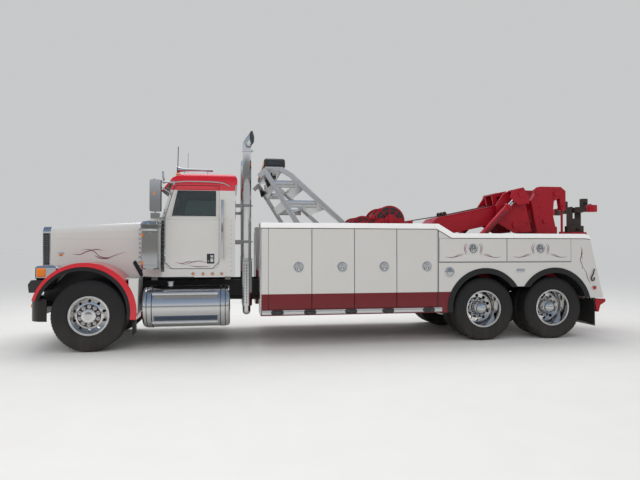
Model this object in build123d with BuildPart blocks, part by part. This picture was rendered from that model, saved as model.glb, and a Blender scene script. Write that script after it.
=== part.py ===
from build123d import *
import os
from math import atan2, cos, degrees, hypot, radians, sin

# Heavy recovery truck. Millimetres; +X rearward, -Y the driver's side, +Z up, ground at zero.
# Stations are measured rearward from the front axle, heights up from a datum above the ground.

os.makedirs("parts", exist_ok=True)

# Overall
DATUM = 45
FRONT_AXLE_X = -4175
REAR_AXLES = (6565, 7886)
BODY_HALF = 1280
FRAME_HALF = 430
FRAME_LOW = 747
FRAME_TOP = 1020
FRAME_FRONT = -700
FRAME_REAR = 8450
CROSS_MEMBERS = (-640, 1650, 2500, 3600, 4700, 5900, 7225, 8350)

# Wheels
FRONT_R = 562.5
FRONT_TYRE = 420
FRONT_WHEEL_Y = 1030
KINGPIN_Y = 950
REAR_R = 552
REAR_TYRE = 280
TWIN_Y = (1085, 745)
FRONT_HUB = FRONT_R - DATUM
REAR_HUB = REAR_R - DATUM

# Hood and fenders
GRILLE_FRONT = -905
HOOD_FRONT = -785
HOOD_REAR = 712
HOOD_LOW = 900
ARCH = (-60, 562)
ARCH_OUT = 785
ARCH_IN = 712
FENDER_Y = 1240

# Cab
CAB_FRONT = 735
CAB_REAR = 2250
CAB_LOW = 1105
CAB_HALF = 1020
CAB_TOP_HALF = 985
BELT = 2080
ROOF_LINE = 2630
ROOF_TOP = 2848
WALL = 40
SCREEN_FOOT = (1075, 2085)
SCREEN_HEAD = (1235, ROOF_LINE)

# Tool body
TOOL_FRONT = 2660
TOOL_LOW = 468
TOOL_INNER = 660
RAIL_TOP = 1990
SEAMS = (2780, 3500, 4220, 4955, 5680)
TALL_LOW = 571
TALL_TOP = 1899
UPPER_SEAMS = (5713, 6965, 8205)
UPPER_LOW = 1338
UPPER_TOP = 1747
DOOR_THICK = 40
DOOR_GAP = 5
TOOL_ARCH = 682
ARCH_Z = 520

# Recovery gear
DECK = 1190
BOOM_PIVOT = (5900, 1800)
BOOM_ANGLE = 11.8
BOOM_HALF = 300
INNER_HALF = 235
YOKE_IN = 380
YOKE_OUT = 420
LIFT_FOOT = (6420, 1350)
LIFT_EYE = (7640, 2610)
LIFT_Y = 530
MAST_IN = 290
MAST_OUT = 400
MAST_ROD_X = 8650
MAST_ROD_Y = 345
STINGER_X = 9020
STINGER_Z = 650
CROSSBAR_Z = 2350
CROSSBAR_HALF = 610


def side(y):
    """Side view plane at width y: local x is the station, local y the height, extrudes to -Y."""
    return Plane(origin=(FRONT_AXLE_X, y, 0), x_dir=(1, 0, 0), z_dir=(0, -1, 0))


def level(z):
    """Plan view plane at height z: local x is the station, local y the width."""
    return Plane(origin=(FRONT_AXLE_X, 0, z))


def cross(x):
    """Section plane at station x: local x is the width, local y the height, extrudes rearward."""
    return Plane(origin=(FRONT_AXLE_X + x, 0, 0), x_dir=(0, 1, 0), z_dir=(1, 0, 0))


def outline(plane, points):
    """A face with straight sides on a plane."""
    with BuildSketch(plane) as face:
        with BuildLine():
            Polyline(*points, close=True)
        make_face()
    return face.sketch


def disc(plane, centre, radius):
    """A round face on a plane."""
    with BuildSketch(plane) as face:
        with Locations(centre):
            Circle(radius)
    return face.sketch


def bar(plane, start, end, width):
    """A straight strip of the given width between two points of a plane."""
    length = hypot(end[0] - start[0], end[1] - start[1])
    angle = degrees(atan2(end[1] - start[1], end[0] - start[0]))
    middle = ((start[0] + end[0]) / 2, (start[1] + end[1]) / 2)
    with BuildSketch(plane) as face:
        with Locations(Location((*middle, 0), angle)):
            Rectangle(length, width)
    return face.sketch


def block(x, y, z, mode=Mode.ADD):
    """A box from pairs of station, width and height limits."""
    centre = (FRONT_AXLE_X + sum(x) / 2, sum(y) / 2, sum(z) / 2)
    with Locations(centre):
        Box(x[1] - x[0], y[1] - y[0], z[1] - z[0], mode=mode)


def rod(start, end, radius, mode=Mode.ADD):
    """A round bar between two points, each a station, a width and a height."""
    path = Vector(*end) - Vector(*start)
    foot = Vector(FRONT_AXLE_X, 0, 0) + Vector(*start)
    with BuildSketch(Plane(origin=foot, z_dir=path)) as face:
        Circle(radius)
    extrude(face.sketch, amount=path.length, mode=mode)


def turned(x, z, points):
    """A solid turned about the crosswise axis at station x and height z, from width and radius pairs."""
    plane = Plane(origin=(FRONT_AXLE_X + x, 0, z), x_dir=(0, -1, 0), z_dir=(-1, 0, 0))
    revolve(outline(plane, points), axis=Axis((FRONT_AXLE_X + x, 0, z), (0, 1, 0)))


def keep(piece, label):
    """Lift a finished piece from the datum to the ground, name it and write it out."""
    placed = piece.part.moved(Location((0, 0, DATUM)))
    placed.label = label
    export_step(placed, f"parts/{label}.step")


def keep_pair(piece, stem):
    """Write a left piece and its mirror image for the right side."""
    keep(piece, f"{stem}_left")
    with BuildPart() as other:
        mirror(piece.part, about=Plane.XZ)
    keep(other, f"{stem}_right")


# Chassis frame: two channels that open inward, and the cross members between their webs
CHANNEL_FLANGE = 85
CHANNEL_WALL = 10
CHANNEL = (
    (-FRAME_HALF, FRAME_LOW),
    (-FRAME_HALF + CHANNEL_FLANGE, FRAME_LOW),
    (-FRAME_HALF + CHANNEL_FLANGE, FRAME_LOW + CHANNEL_WALL),
    (-FRAME_HALF + CHANNEL_WALL, FRAME_LOW + CHANNEL_WALL),
    (-FRAME_HALF + CHANNEL_WALL, FRAME_TOP - CHANNEL_WALL),
    (-FRAME_HALF + CHANNEL_FLANGE, FRAME_TOP - CHANNEL_WALL),
    (-FRAME_HALF + CHANNEL_FLANGE, FRAME_TOP),
    (-FRAME_HALF, FRAME_TOP),
)
with BuildPart() as frame_rails:
    extrude(outline(cross(FRAME_FRONT), CHANNEL), amount=FRAME_REAR - FRAME_FRONT)
    mirror(about=Plane.XZ)
    for station in CROSS_MEMBERS:
        block((station - 40, station + 40), (-421, 421), (800, 960))
keep(frame_rails, "frame_rails")

# Axles: dropped front beam on leaf springs, two drive axles on walking beams, and the propshafts
BEAM_HALF = 45
EYE_R = 50
PIN_BORE = 24
SPRING_Y = (375, 465)
with BuildPart() as axles:
    extrude(
        outline(
            cross(-BEAM_HALF),
            [
                (y, FRONT_HUB + up)
                for y, up in (
                    (-915, 55), (-560, -52), (560, -52), (915, 55),
                    (915, -55), (540, -162), (-540, -162), (-915, -55),
                )
            ],
        ),
        amount=2 * BEAM_HALF,
    )
    for y in (-KINGPIN_Y, KINGPIN_Y):
        rod((0, y, FRONT_HUB - 55), (0, y, FRONT_HUB + 55), EYE_R)
        rod((0, y, FRONT_HUB - 55), (0, y, FRONT_HUB + 55), PIN_BORE, mode=Mode.SUBTRACT)
    with BuildSketch(side(-SPRING_Y[0])) as leaf:
        with BuildLine():
            ThreePointArc((-740, 650), (0, FRONT_HUB - 53), (740, 650))
            Line((740, 650), (740, 690))
            ThreePointArc((740, 690), (0, 560), (-740, 690))
            Line((-740, 690), (-740, 650))
        make_face()
    extrude(amount=SPRING_Y[1] - SPRING_Y[0])
    for station in (-730, 730):
        block((station - 30, station + 30), (-FRAME_HALF, -SPRING_Y[0]), (655, FRAME_LOW))
    mirror(about=Plane.XZ)
    for station in REAR_AXLES:
        rod((station, -640, REAR_HUB), (station, 640, REAR_HUB), 70)
        rod((station, -860, REAR_HUB), (station, 860, REAR_HUB), 40)
        rod((station - 140, 0, REAR_HUB), (station + 140, 0, REAR_HUB), 190)
        rod((station - 330, 0, REAR_HUB + 60), (station, 0, REAR_HUB + 30), 85)
    for y in (-470, 540):
        extrude(
            outline(
                side(y),
                [
                    (6480, 455), (6480, 565), (7125, 600), (7325, 600),
                    (7971, 565), (7971, 455), (7325, 425), (7125, 425),
                ],
            ),
            amount=70,
        )
    for y in ((-540, -FRAME_HALF), (FRAME_HALF, 540)):
        block((7125, 7325), y, (520, 960))
    rod((1505, 0, 700), (6300, 0, REAR_HUB + 88), 50)
    rod((6700, 0, REAR_HUB + 40), (7600, 0, REAR_HUB + 50), 45)
keep(axles, "axles")

# Engine as one plain block with its gearbox, shroud and radiator
with BuildPart() as engine:
    block((-550, 700), (-325, 325), (700, 1700))
    block((700, 1500), (-240, 240), (620, 1040))
    block((-610, -550), (-300, 300), (1100, 1650))
    block((-700, -610), (-400, 400), (FRAME_TOP, 1780))
keep(engine, "engine")

# Front bumper: a bowed sheet with wrapped ends, on two brackets
BUMPER_LOW = 440
BUMPER_HIGH = 785
with BuildPart() as front_bumper:
    with BuildSketch(level(BUMPER_LOW)) as bow:
        with BuildLine():
            ThreePointArc((-900, -900), (-980, 0), (-900, 900))
            ThreePointArc((-900, 900), (-825, 1110), (-612, 1200))
            Line((-612, 1200), (-612, -1200))
            ThreePointArc((-612, -1200), (-825, -1110), (-900, -900))
        make_face()
        offset(amount=-14, mode=Mode.SUBTRACT)
        with Locations((-617, 0)):
            Rectangle(30, 2365, mode=Mode.SUBTRACT)
    extrude(amount=BUMPER_HIGH - BUMPER_LOW)
    for y in ((-FRAME_HALF, -350), (350, FRAME_HALF)):
        block((-958, FRAME_FRONT), y, (752, 780))
        block((-958, -765), y, (600, 780))
keep(front_bumper, "front_bumper")


# Cab: the outer form and its inside are each the meeting of a side, an end and a plan outline
def cab_form(wall, floor):
    """The cab's form drawn in by the wall's thickness, open at the roof line where it is the inside."""
    half = CAB_HALF - wall
    top_half = CAB_TOP_HALF - wall
    head = ROOF_LINE + (10 if wall else 0)
    foot_x, foot_z = SCREEN_FOOT
    with BuildPart() as form:
        extrude(
            outline(
                side(1100),
                [
                    (CAB_FRONT + wall, floor),
                    (CAB_FRONT + wall, 2015 - wall),
                    (foot_x + wall, foot_z - wall),
                    (SCREEN_HEAD[0] + wall, head),
                    (CAB_REAR - wall, head),
                    (CAB_REAR - wall, floor),
                ],
            ),
            amount=2200,
        )
        extrude(
            outline(
                cross(0),
                [
                    (-half, floor), (-half, BELT), (-top_half, ROOF_LINE), (-top_half, ROOF_LINE + 10),
                    (top_half, ROOF_LINE + 10), (top_half, ROOF_LINE), (half, BELT), (half, floor),
                ],
            ),
            amount=3000,
            mode=Mode.INTERSECT,
        )
        extrude(
            outline(
                level(0),
                [
                    (CAB_FRONT, -780 + wall), (1080, -half), (CAB_REAR, -half),
                    (CAB_REAR, half), (1080, half), (CAB_FRONT, 780 - wall),
                ],
            ),
            amount=3000,
            mode=Mode.INTERSECT,
        )
    return form.part


DOOR_FRONT = 1120
DOOR_REAR = 1990
DOOR_LOW = 1235
DOOR_HIGH = 2612
SIDE_WINDOW = ((1225, 2100), (1316, 2523), (1938, 2523), (1938, 2100))
SCREEN_PANE = ((30, 2130), (915, 2130), (890, 2478), (30, 2478))
REAR_WINDOW = (-360, 360)


def door_outline(gap):
    """The cab door's outline, drawn in by a gap all round."""
    with BuildSketch(side(1100)) as face:
        with BuildLine():
            Polyline(
                (DOOR_FRONT, DOOR_LOW), (DOOR_FRONT, 2085), (1275, DOOR_HIGH),
                (DOOR_REAR, DOOR_HIGH), (DOOR_REAR, DOOR_LOW), close=True,
            )
        make_face()
        fillet(face.vertices().group_by(Axis.Z)[0], 110)
        fillet(face.vertices().group_by(Axis.Z)[-1], 45)
        if gap:
            offset(amount=-gap, kind=Kind.INTERSECTION, mode=Mode.REPLACE)
    return face.sketch


GRAB_X = 2040
GRAB_Y = 1075
with BuildPart() as cab_shell:
    add(cab_form(0, CAB_LOW))
    add(cab_form(WALL, CAB_LOW + 45), mode=Mode.SUBTRACT)
    extrude(door_outline(0), amount=2200, mode=Mode.SUBTRACT)
    for sign in (-1, 1):
        extrude(
            outline(cross(1000), [(sign * y, z) for y, z in SCREEN_PANE]),
            amount=300,
            mode=Mode.SUBTRACT,
        )
    block((2200, 2260), REAR_WINDOW, (2120, 2400), mode=Mode.SUBTRACT)
    for y in ((-FRAME_HALF, -350), (350, FRAME_HALF)):
        block((830, 930), y, (FRAME_TOP, CAB_LOW))
        block((2080, 2180), y, (FRAME_TOP, CAB_LOW))
    for sign in (-1, 1):
        rod((GRAB_X, sign * GRAB_Y, 1400), (GRAB_X, sign * GRAB_Y, 2380), 16)
        rod((GRAB_X, sign * 1000, 1430), (GRAB_X, sign * GRAB_Y, 1430), 14)
        rod((GRAB_X, sign * 985, 2340), (GRAB_X, sign * GRAB_Y, 2340), 14)
keep(cab_shell, "cab_shell")

# Roof cap with its sun visor
ROOF_WALL = 30


def roof_form(wall):
    """The roof cap's form, drawn in by its wall."""
    low = ROOF_LINE - (10 if wall else 0)
    crest = ROOF_TOP + 6 - wall
    with BuildPart() as form:
        with BuildSketch(side(1100)) as profile:
            with BuildLine():
                Polyline(
                    (1185 + wall, low), (1185 + wall, 2665 - wall / 2), (1235, 2735 - wall),
                    (1340, 2790 - wall), (1560, 2838 - wall), (1700, crest), (2130, crest),
                )
                ThreePointArc((2130, crest), (2238 - wall / 2, 2805 - wall), (2285 - wall, 2710 - wall))
                Polyline((2285 - wall, 2710 - wall), (2285 - wall, low), (1185 + wall, low))
            make_face()
        extrude(amount=2200)
        with BuildSketch(cross(1100)) as end:
            with BuildLine():
                Line((-985 + wall, low), (-980 + wall, 2700 - wall))
                ThreePointArc(
                    (-980 + wall, 2700 - wall), (-928 + wall / 2, 2784 - wall), (-810, 2822 - wall)
                )
                ThreePointArc((-810, 2822 - wall), (0, ROOF_TOP - wall), (810, 2822 - wall))
                ThreePointArc(
                    (810, 2822 - wall), (928 - wall / 2, 2784 - wall), (980 - wall, 2700 - wall)
                )
                Polyline((980 - wall, 2700 - wall), (985 - wall, low), (-985 + wall, low))
            make_face()
        extrude(amount=1300, mode=Mode.INTERSECT)
    return form.part


with BuildPart() as cab_roof:
    add(roof_form(0))
    add(roof_form(ROOF_WALL), mode=Mode.SUBTRACT)
    extrude(outline(side(940), [(1050, 2512), (1062, 2500), (1195, 2632), (1195, 2690)]), amount=1880)
keep(cab_roof, "cab_roof")

# Windscreen panes and rear glass
GLASS = 8
with BuildPart() as cab_glass:
    extrude(
        outline(
            side(940),
            [
                (SCREEN_FOOT[0] + 12, SCREEN_FOOT[1]),
                (SCREEN_FOOT[0] + 12 + GLASS, SCREEN_FOOT[1]),
                (SCREEN_HEAD[0] + 12 + GLASS, SCREEN_HEAD[1]),
                (SCREEN_HEAD[0] + 12, SCREEN_HEAD[1]),
            ],
        ),
        amount=1880,
    )
    with BuildSketch(cross(1000)) as panes:
        for sign in (-1, 1):
            with BuildLine():
                Polyline(*[(sign * y, z) for y, z in SCREEN_PANE], close=True)
            make_face()
    extrude(amount=400, mode=Mode.INTERSECT)
    block((2226, 2226 + GLASS), REAR_WINDOW, (2120, 2400))
keep(cab_glass, "cab_glass")

# Inside of the cab: floor, tunnel, dash, steering wheel and two seats
COLUMN_FOOT = (1150, -480, 1800)
COLUMN_HEAD = (1400, -480, 1950)
SEAT_Y = (340, 800)
with BuildPart() as cab_interior:
    block((1000, 2200), (-900, 900), (1150, 1165))
    block((790, 1350), (-300, 300), (1150, 1500))
    extrude(
        outline(
            side(720),
            [(800, 1500), (800, 1960), (1000, 2020), (1180, 1990), (1230, 1860), (1120, 1640), (1000, 1500)],
        ),
        amount=1440,
    )
    rod(COLUMN_FOOT, COLUMN_HEAD, 35)
    column = Vector(*COLUMN_HEAD) - Vector(*COLUMN_FOOT)
    with BuildSketch(Plane(origin=Vector(FRONT_AXLE_X, 0, 0) + Vector(*COLUMN_HEAD), z_dir=column)):
        Circle(235)
        Circle(205, mode=Mode.SUBTRACT)
        Rectangle(430, 40)
    extrude(amount=24)
    for y in (-SEAT_Y[0], SEAT_Y[1]):
        extrude(
            outline(
                side(y),
                [
                    (1580, 1165), (1530, 1560), (1530, 1680), (1920, 1670), (2070, 2400),
                    (2160, 2400), (2060, 1600), (2000, 1165),
                ],
            ),
            amount=SEAT_Y[1] - SEAT_Y[0],
        )
keep(cab_interior, "cab_interior")

# Cab doors and their glass, each a slice of the cab's side wall
WALL_SLICE = ((-CAB_HALF, CAB_LOW), (-CAB_HALF + WALL, CAB_LOW), (-CAB_HALF + WALL, BELT),
              (-CAB_TOP_HALF + WALL, ROOF_LINE), (-CAB_TOP_HALF, ROOF_LINE), (-CAB_HALF, BELT))
with BuildPart() as cab_door:
    extrude(outline(cross(1000), WALL_SLICE), amount=1200)
    extrude(door_outline(DOOR_GAP), amount=2200, mode=Mode.INTERSECT)
    extrude(outline(side(-900), SIDE_WINDOW), amount=200, mode=Mode.SUBTRACT)
keep_pair(cab_door, "cab_door")

with BuildPart() as door_glass:
    extrude(
        outline(
            cross(1000),
            [(-1004, BELT), (-1004 + GLASS, BELT), (-969 + GLASS, ROOF_LINE), (-969, ROOF_LINE)],
        ),
        amount=1200,
    )
    extrude(outline(side(-900), SIDE_WINDOW), amount=200, mode=Mode.INTERSECT)
keep_pair(door_glass, "door_glass")

# Air cleaners beside the cowl, on plates that reach its slanted side
CLEANER = (918, -1125)
CLEANER_R = 155
with BuildPart() as air_cleaners:
    with BuildSketch(Plane(origin=(FRONT_AXLE_X + CLEANER[0], CLEANER[1], 0), x_dir=(1, 0, 0), z_dir=(0, -1, 0))):
        with BuildLine():
            Polyline(
                (0, 1240), (CLEANER_R - 15, 1240), (CLEANER_R, 1260), (CLEANER_R, 1850),
                (161, 1875), (161, 1960), (135, 2000), (0, 2000), close=True,
            )
        make_face()
    revolve(axis=Axis((FRONT_AXLE_X + CLEANER[0], CLEANER[1], 0), (0, 0, 1)))
    for z in (1400, 1780):
        extrude(
            outline(level(z), [(860, -866.96), (940, -922.61), (940, -1020), (860, -1020)]),
            amount=60,
        )
    mirror(about=Plane.XZ)
keep(air_cleaners, "air_cleaners")

# Fuel tanks with straps, frame brackets and two steps
TANK_X = (790, 2170)
TANK_Y = 910
TANK_Z = 622
TANK_R = 335
with BuildPart() as fuel_tanks:
    rod((TANK_X[0], -TANK_Y, TANK_Z), (TANK_X[1], -TANK_Y, TANK_Z), TANK_R)
    fillet(fuel_tanks.edges().filter_by(GeomType.CIRCLE), 55)
    for station in (905, 2055):
        rod((station - 30, -TANK_Y, TANK_Z), (station + 30, -TANK_Y, TANK_Z), TANK_R + 6)
        block((station - 35, station + 35), (-640, -FRAME_HALF), (560, 800))
    block((970, 1970), (-1275, -1090), (835, 870))
    block((970, 1970), (-1275, -1090), (385, 420))
    mirror(about=Plane.XZ)
keep(fuel_tanks, "fuel_tanks")

# Exhaust stacks with turned tips, carried on plates from the back of the cab
STACK = (2440, -1000)
STACK_R = 75
TIP_START = 3330
TIP_BEND = 230
TIP_ANGLE = 45
TIP_AIM = radians(35)
ELBOW_Z = 535
LOWER_PIPE_R = 66
bend_centre = (
    FRONT_AXLE_X + STACK[0] + TIP_BEND * cos(TIP_AIM), STACK[1] - TIP_BEND * sin(TIP_AIM), TIP_START,
)
with BuildPart() as exhaust_stacks:
    rod((*STACK, 1400), (*STACK, TIP_START), STACK_R)
    rod((*STACK, ELBOW_Z), (*STACK, 1400), LOWER_PIPE_R)
    with Locations((FRONT_AXLE_X + STACK[0], STACK[1], ELBOW_Z)):
        Sphere(LOWER_PIPE_R)
    rod((*STACK, ELBOW_Z), (STACK[0], -560, ELBOW_Z), LOWER_PIPE_R)
    for radius, mode in ((STACK_R, Mode.ADD), (STACK_R - 4, Mode.SUBTRACT)):
        with BuildSketch(Plane(origin=(FRONT_AXLE_X + STACK[0], STACK[1], TIP_START))) as mouth:
            Circle(radius)
        revolve(
            mouth.sketch,
            axis=Axis(bend_centre, (sin(TIP_AIM), cos(TIP_AIM), 0)),
            revolution_arc=TIP_ANGLE,
            mode=mode,
        )
    for z in (1650, 2250):
        block((CAB_REAR, 2380), (-1010, -985), (z, z + 60))
    mirror(about=Plane.XZ)
keep(exhaust_stacks, "exhaust_stacks")


def wall_y(z):
    """Half width of the cab's outer face at a height above the belt line."""
    return CAB_HALF - (CAB_HALF - CAB_TOP_HALF) * (z - BELT) / (ROOF_LINE - BELT)


# Mirrors on tube arms from the cowl and the windscreen pillar
with BuildPart() as mirrors:
    block((915, 1085), (-1280, -1205), (2150, 2660))
    fillet(mirrors.edges().filter_by(Axis.Y), 30)
    block((930, 1070), (-1275, -1215), (2040, 2130))
    rod((1000, -1240, 2060), (1000, -1240, 2640), 12)
    rod((1000, -1225, 2090), (1098, -1036, 2045), 12)
    block((1082, 1114), (-1042, -CAB_HALF), (2015, 2070))
    rod((1000, -1225, 2600), (1211, -1015, 2470), 12)
    extrude(
        outline(
            cross(1201),
            [(-wall_y(2440), 2440), (-wall_y(2500), 2500), (-1028, 2500), (-1028, 2440)],
        ),
        amount=20,
    )
    mirror(about=Plane.XZ)
keep(mirrors, "mirrors")


# Hood: a shell between a narrow front section and a wide one at the cowl
def hood_section(x, half, top, corner, wall):
    """An upside down tray section at station x, drawn in by its wall."""
    low = HOOD_LOW - (20 if wall else 0)
    with BuildSketch(cross(x)) as face:
        with BuildLine():
            Polyline(
                (-half + wall, low), (-half + wall, top - wall), (half - wall, top - wall),
                (half - wall, low), close=True,
            )
        make_face()
        fillet(face.vertices().group_by(Axis.Z)[-1], corner - wall)
    return face.sketch


def hood_form(wall):
    """The hood's form between its two end sections."""
    with BuildPart() as form:
        loft([
            hood_section(HOOD_FRONT, 487, 1935, 110, wall),
            hood_section(HOOD_REAR, 742, 2022, 150, wall),
        ])
    return form.part


HOOD_WALL = 25
HOOD_ARCH = 742
LEDGE = 1105
with BuildPart() as hood:
    add(hood_form(0))
    add(hood_form(HOOD_WALL), mode=Mode.SUBTRACT)
    with BuildSketch(side(1300)) as wheel_cut:
        with Locations(ARCH):
            Circle(HOOD_ARCH)
        with BuildLine():
            Polyline((500, 0), (800, 0), (800, LEDGE - 12), (500, LEDGE - 12), close=True)
        make_face()
    extrude(amount=2600, mode=Mode.SUBTRACT)
    with BuildSketch(side(-740)) as ledge:
        with BuildLine():
            Polyline((560, LEDGE - 12), (560, LEDGE), (750, LEDGE), (750, LEDGE - 12), close=True)
        make_face()
    extrude(amount=FENDER_Y - 740)
    extrude(outline(side(-FENDER_Y + 20), [(600, 555), (600, LEDGE), (750, LEDGE), (735, 555)]), amount=20)
    extrude(outline(side(-800), [(720, 555), (735, LEDGE), (750, LEDGE), (735, 555)]), amount=FENDER_Y - 800)
    with BuildSketch(side(-745)) as fender_cut:
        with Locations(ARCH):
            Circle(ARCH_OUT)
    extrude(amount=600, mode=Mode.SUBTRACT)
    split(bisect_by=Plane.XZ, keep=Keep.TOP)
    mirror(about=Plane.XZ)
keep(hood, "hood")

# Fenders: an arched shell with a deep outer lip and a front crown, cut to the hood's side
LIP = (-85, 570)
FENDER_IN = 490
HOOD_PIVOT = (-860, 870)
CAB_SWEEP = 1600
CROWN = 1078
with BuildPart() as fenders:
    with BuildSketch(side(-FENDER_IN)) as arch:
        with Locations(ARCH):
            Circle(ARCH_OUT)
            Circle(ARCH_OUT - 25, mode=Mode.SUBTRACT)
    extrude(amount=FENDER_Y - FENDER_IN)
    with BuildSketch(side(-FENDER_Y + 25)) as lip:
        with Locations(ARCH):
            Circle(ARCH_OUT)
        with Locations(LIP):
            Circle(ARCH_IN, mode=Mode.SUBTRACT)
    extrude(amount=25)
    block((-900, 0), (-FENDER_Y + 26, 0), (-300, 885), mode=Mode.SUBTRACT)
    block((-900, 0), (-1300, -FENDER_Y + 26), (-300, 768), mode=Mode.SUBTRACT)
    block((-10, 900), (-1300, 0), (-300, 450), mode=Mode.SUBTRACT)
    with BuildSketch(side(0)) as past_sweep:
        with Locations((700, 700)):
            Rectangle(200, 900)
        with Locations(HOOD_PIVOT):
            Circle(CAB_SWEEP, mode=Mode.SUBTRACT)
    extrude(amount=830, mode=Mode.SUBTRACT)
    extrude(
        outline(
            side(-560),
            [(-700, 885), (-885, 885), (-900, 1010), (-855, CROWN), (-560, CROWN), (-560, 1060), (-700, 990)],
        ),
        amount=590,
    )
    with BuildSketch(side(-450)) as inside:
        with Locations(ARCH):
            Circle(ARCH_OUT - 25)
    extrude(amount=FENDER_Y - 25 - 450, mode=Mode.SUBTRACT)
    add(hood_form(0), mode=Mode.SUBTRACT)
    block((-1000, HOOD_FRONT), (-487, 487), (800, 2000), mode=Mode.SUBTRACT)
    mirror(about=Plane.XZ)
keep(fenders, "fenders")


def lamp_pod():
    """The left headlamp pod, rounded along its length and narrowed at the back."""
    with BuildPart() as pod:
        block((-805, -480), (-1085, -800), (CROWN, 1295))
        fillet(pod.edges().filter_by(Axis.X), 45)
        chamfer(pod.faces().sort_by(Axis.X)[-1].edges(), 40)
        extrude(disc(side(-700), ARCH, ARCH_OUT + 1), amount=500, mode=Mode.SUBTRACT)
    return pod.part


# Grille, a deep surround with upright bars, and the headlamp pods on the fender crowns
BAR_PITCH = 52
with BuildPart() as grille_and_lamps:
    with BuildSketch(cross(GRILLE_FRONT)) as surround:
        with BuildLine():
            Polyline((-487, HOOD_LOW), (-487, 1935), (487, 1935), (487, HOOD_LOW), close=True)
        make_face()
        fillet(surround.vertices().group_by(Axis.Z)[-1], 110)
        with BuildLine():
            Polyline((-430, 960), (-430, 1878), (430, 1878), (430, 960), close=True)
        make_face(mode=Mode.SUBTRACT)
    extrude(amount=HOOD_FRONT - GRILLE_FRONT)
    with BuildSketch(cross(GRILLE_FRONT + 30)) as bars:
        with Locations((0, (960 + 1878) / 2)):
            with GridLocations(BAR_PITCH, 1, 16, 1):
                Rectangle(12, 1878 - 960)
    extrude(amount=40)
    add(lamp_pod())
    mirror(lamp_pod(), about=Plane.XZ)
keep(grille_and_lamps, "grille_and_lamps")

# Tool body: one long hollow box each side with bays behind its doors, cut over the tandem wheels
BAY_LIP = 35
with BuildPart() as tool_body:
    extrude(
        outline(
            side(-TOOL_INNER),
            [
                (TOOL_FRONT, TOOL_LOW), (TOOL_FRONT, RAIL_TOP), (5690, RAIL_TOP), (5960, 1825),
                (8480, 1825), (8560, 1790), (8590, 1700), (8840, 680), (8300, 680), (8300, 900),
                (6200, 900), (6200, TOOL_LOW),
            ],
        ),
        amount=BODY_HALF - TOOL_INNER,
    )
    with BuildSketch(side(-TOOL_INNER)) as tool_arches:
        for station in REAR_AXLES:
            with Locations((station, ARCH_Z)):
                Circle(TOOL_ARCH)
    extrude(amount=BODY_HALF - TOOL_INNER, mode=Mode.SUBTRACT)
    bays = [(a, b, TALL_LOW, TALL_TOP) for a, b in zip(SEAMS, SEAMS[1:])]
    bays += [(a, b, UPPER_LOW, UPPER_TOP) for a, b in zip(UPPER_SEAMS, UPPER_SEAMS[1:])]
    for front, rear, low, high in bays:
        block(
            (front + 1, rear - 1),
            (-BODY_HALF, -BODY_HALF + DOOR_THICK + DOOR_GAP),
            (low, high),
            mode=Mode.SUBTRACT,
        )
        block(
            (front + BAY_LIP, rear - BAY_LIP),
            (-BODY_HALF, -TOOL_INNER - 40),
            (low + BAY_LIP, high - BAY_LIP),
            mode=Mode.SUBTRACT,
        )
keep_pair(tool_body, "tool_body")

# Tool doors: four tall and two upper doors each side
for names, seams, low, high in (
    (("a", "b", "c", "d"), SEAMS, TALL_LOW, TALL_TOP),
    (("e", "f"), UPPER_SEAMS, UPPER_LOW, UPPER_TOP),
):
    for name, front, rear in zip(names, seams, seams[1:]):
        with BuildPart() as tool_door:
            block(
                (front + 1 + DOOR_GAP, rear - 1 - DOOR_GAP),
                (-BODY_HALF, -BODY_HALF + DOOR_THICK),
                (low + DOOR_GAP, high - DOOR_GAP),
            )
        keep_pair(tool_door, f"tool_door_{name}")

# Rear mudguards: liners with outer flares over both wheels, and a flap behind
FLARE_OUT = 704
FLARE_IN = 612
LINER_R = 678
LINER_IN = 662
with BuildPart() as mudguards:
    for plane, depth, outer, inner in (
        (side(-BODY_HALF), 10, FLARE_OUT, FLARE_IN),
        (side(-LINER_IN), BODY_HALF - LINER_IN, LINER_R, LINER_R - 10),
    ):
        with BuildSketch(plane) as arches:
            for station in REAR_AXLES:
                with Locations((station, ARCH_Z)):
                    Circle(outer)
            for station in REAR_AXLES:
                with Locations((station, ARCH_Z)):
                    Circle(inner, mode=Mode.SUBTRACT)
        extrude(arches.sketch, amount=depth)
    block((REAR_AXLES[0], REAR_AXLES[1]), (-1300, -600), (-200, 890), mode=Mode.SUBTRACT)
    block((5700, REAR_AXLES[0] + 10), (-1300, -600), (-200, TOOL_LOW + 10), mode=Mode.SUBTRACT)
    block((REAR_AXLES[1] - 10, 8900), (-1300, -600), (-200, 690), mode=Mode.SUBTRACT)
    block((8690, 8702), (-1235, -670), (170, 680))
    mirror(about=Plane.XZ)
keep(mudguards, "mudguards")

# Light pylon: two braced side frames on the body rails, tied across by plates
PYLON_Y = (1050, 1110)
PYLON_BAR = 80
REAR_LEG = ((4120, 1950), (3165, 2800))
REAR_CAP = ((3165, 2800), (2985, 2905))
FRONT_LEG = ((3310, 1940), (2735, 2865))
FRONT_CAP = ((2735, 2865), (2640, 2770))
TIE_HEIGHTS = ((2250, 2380), (2580, 2710))


def along(leg, z):
    """The point of a leg's centre line at height z."""
    (x0, z0), (x1, z1) = leg
    return (x0 + (x1 - x0) * (z - z0) / (z1 - z0), z)


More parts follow.
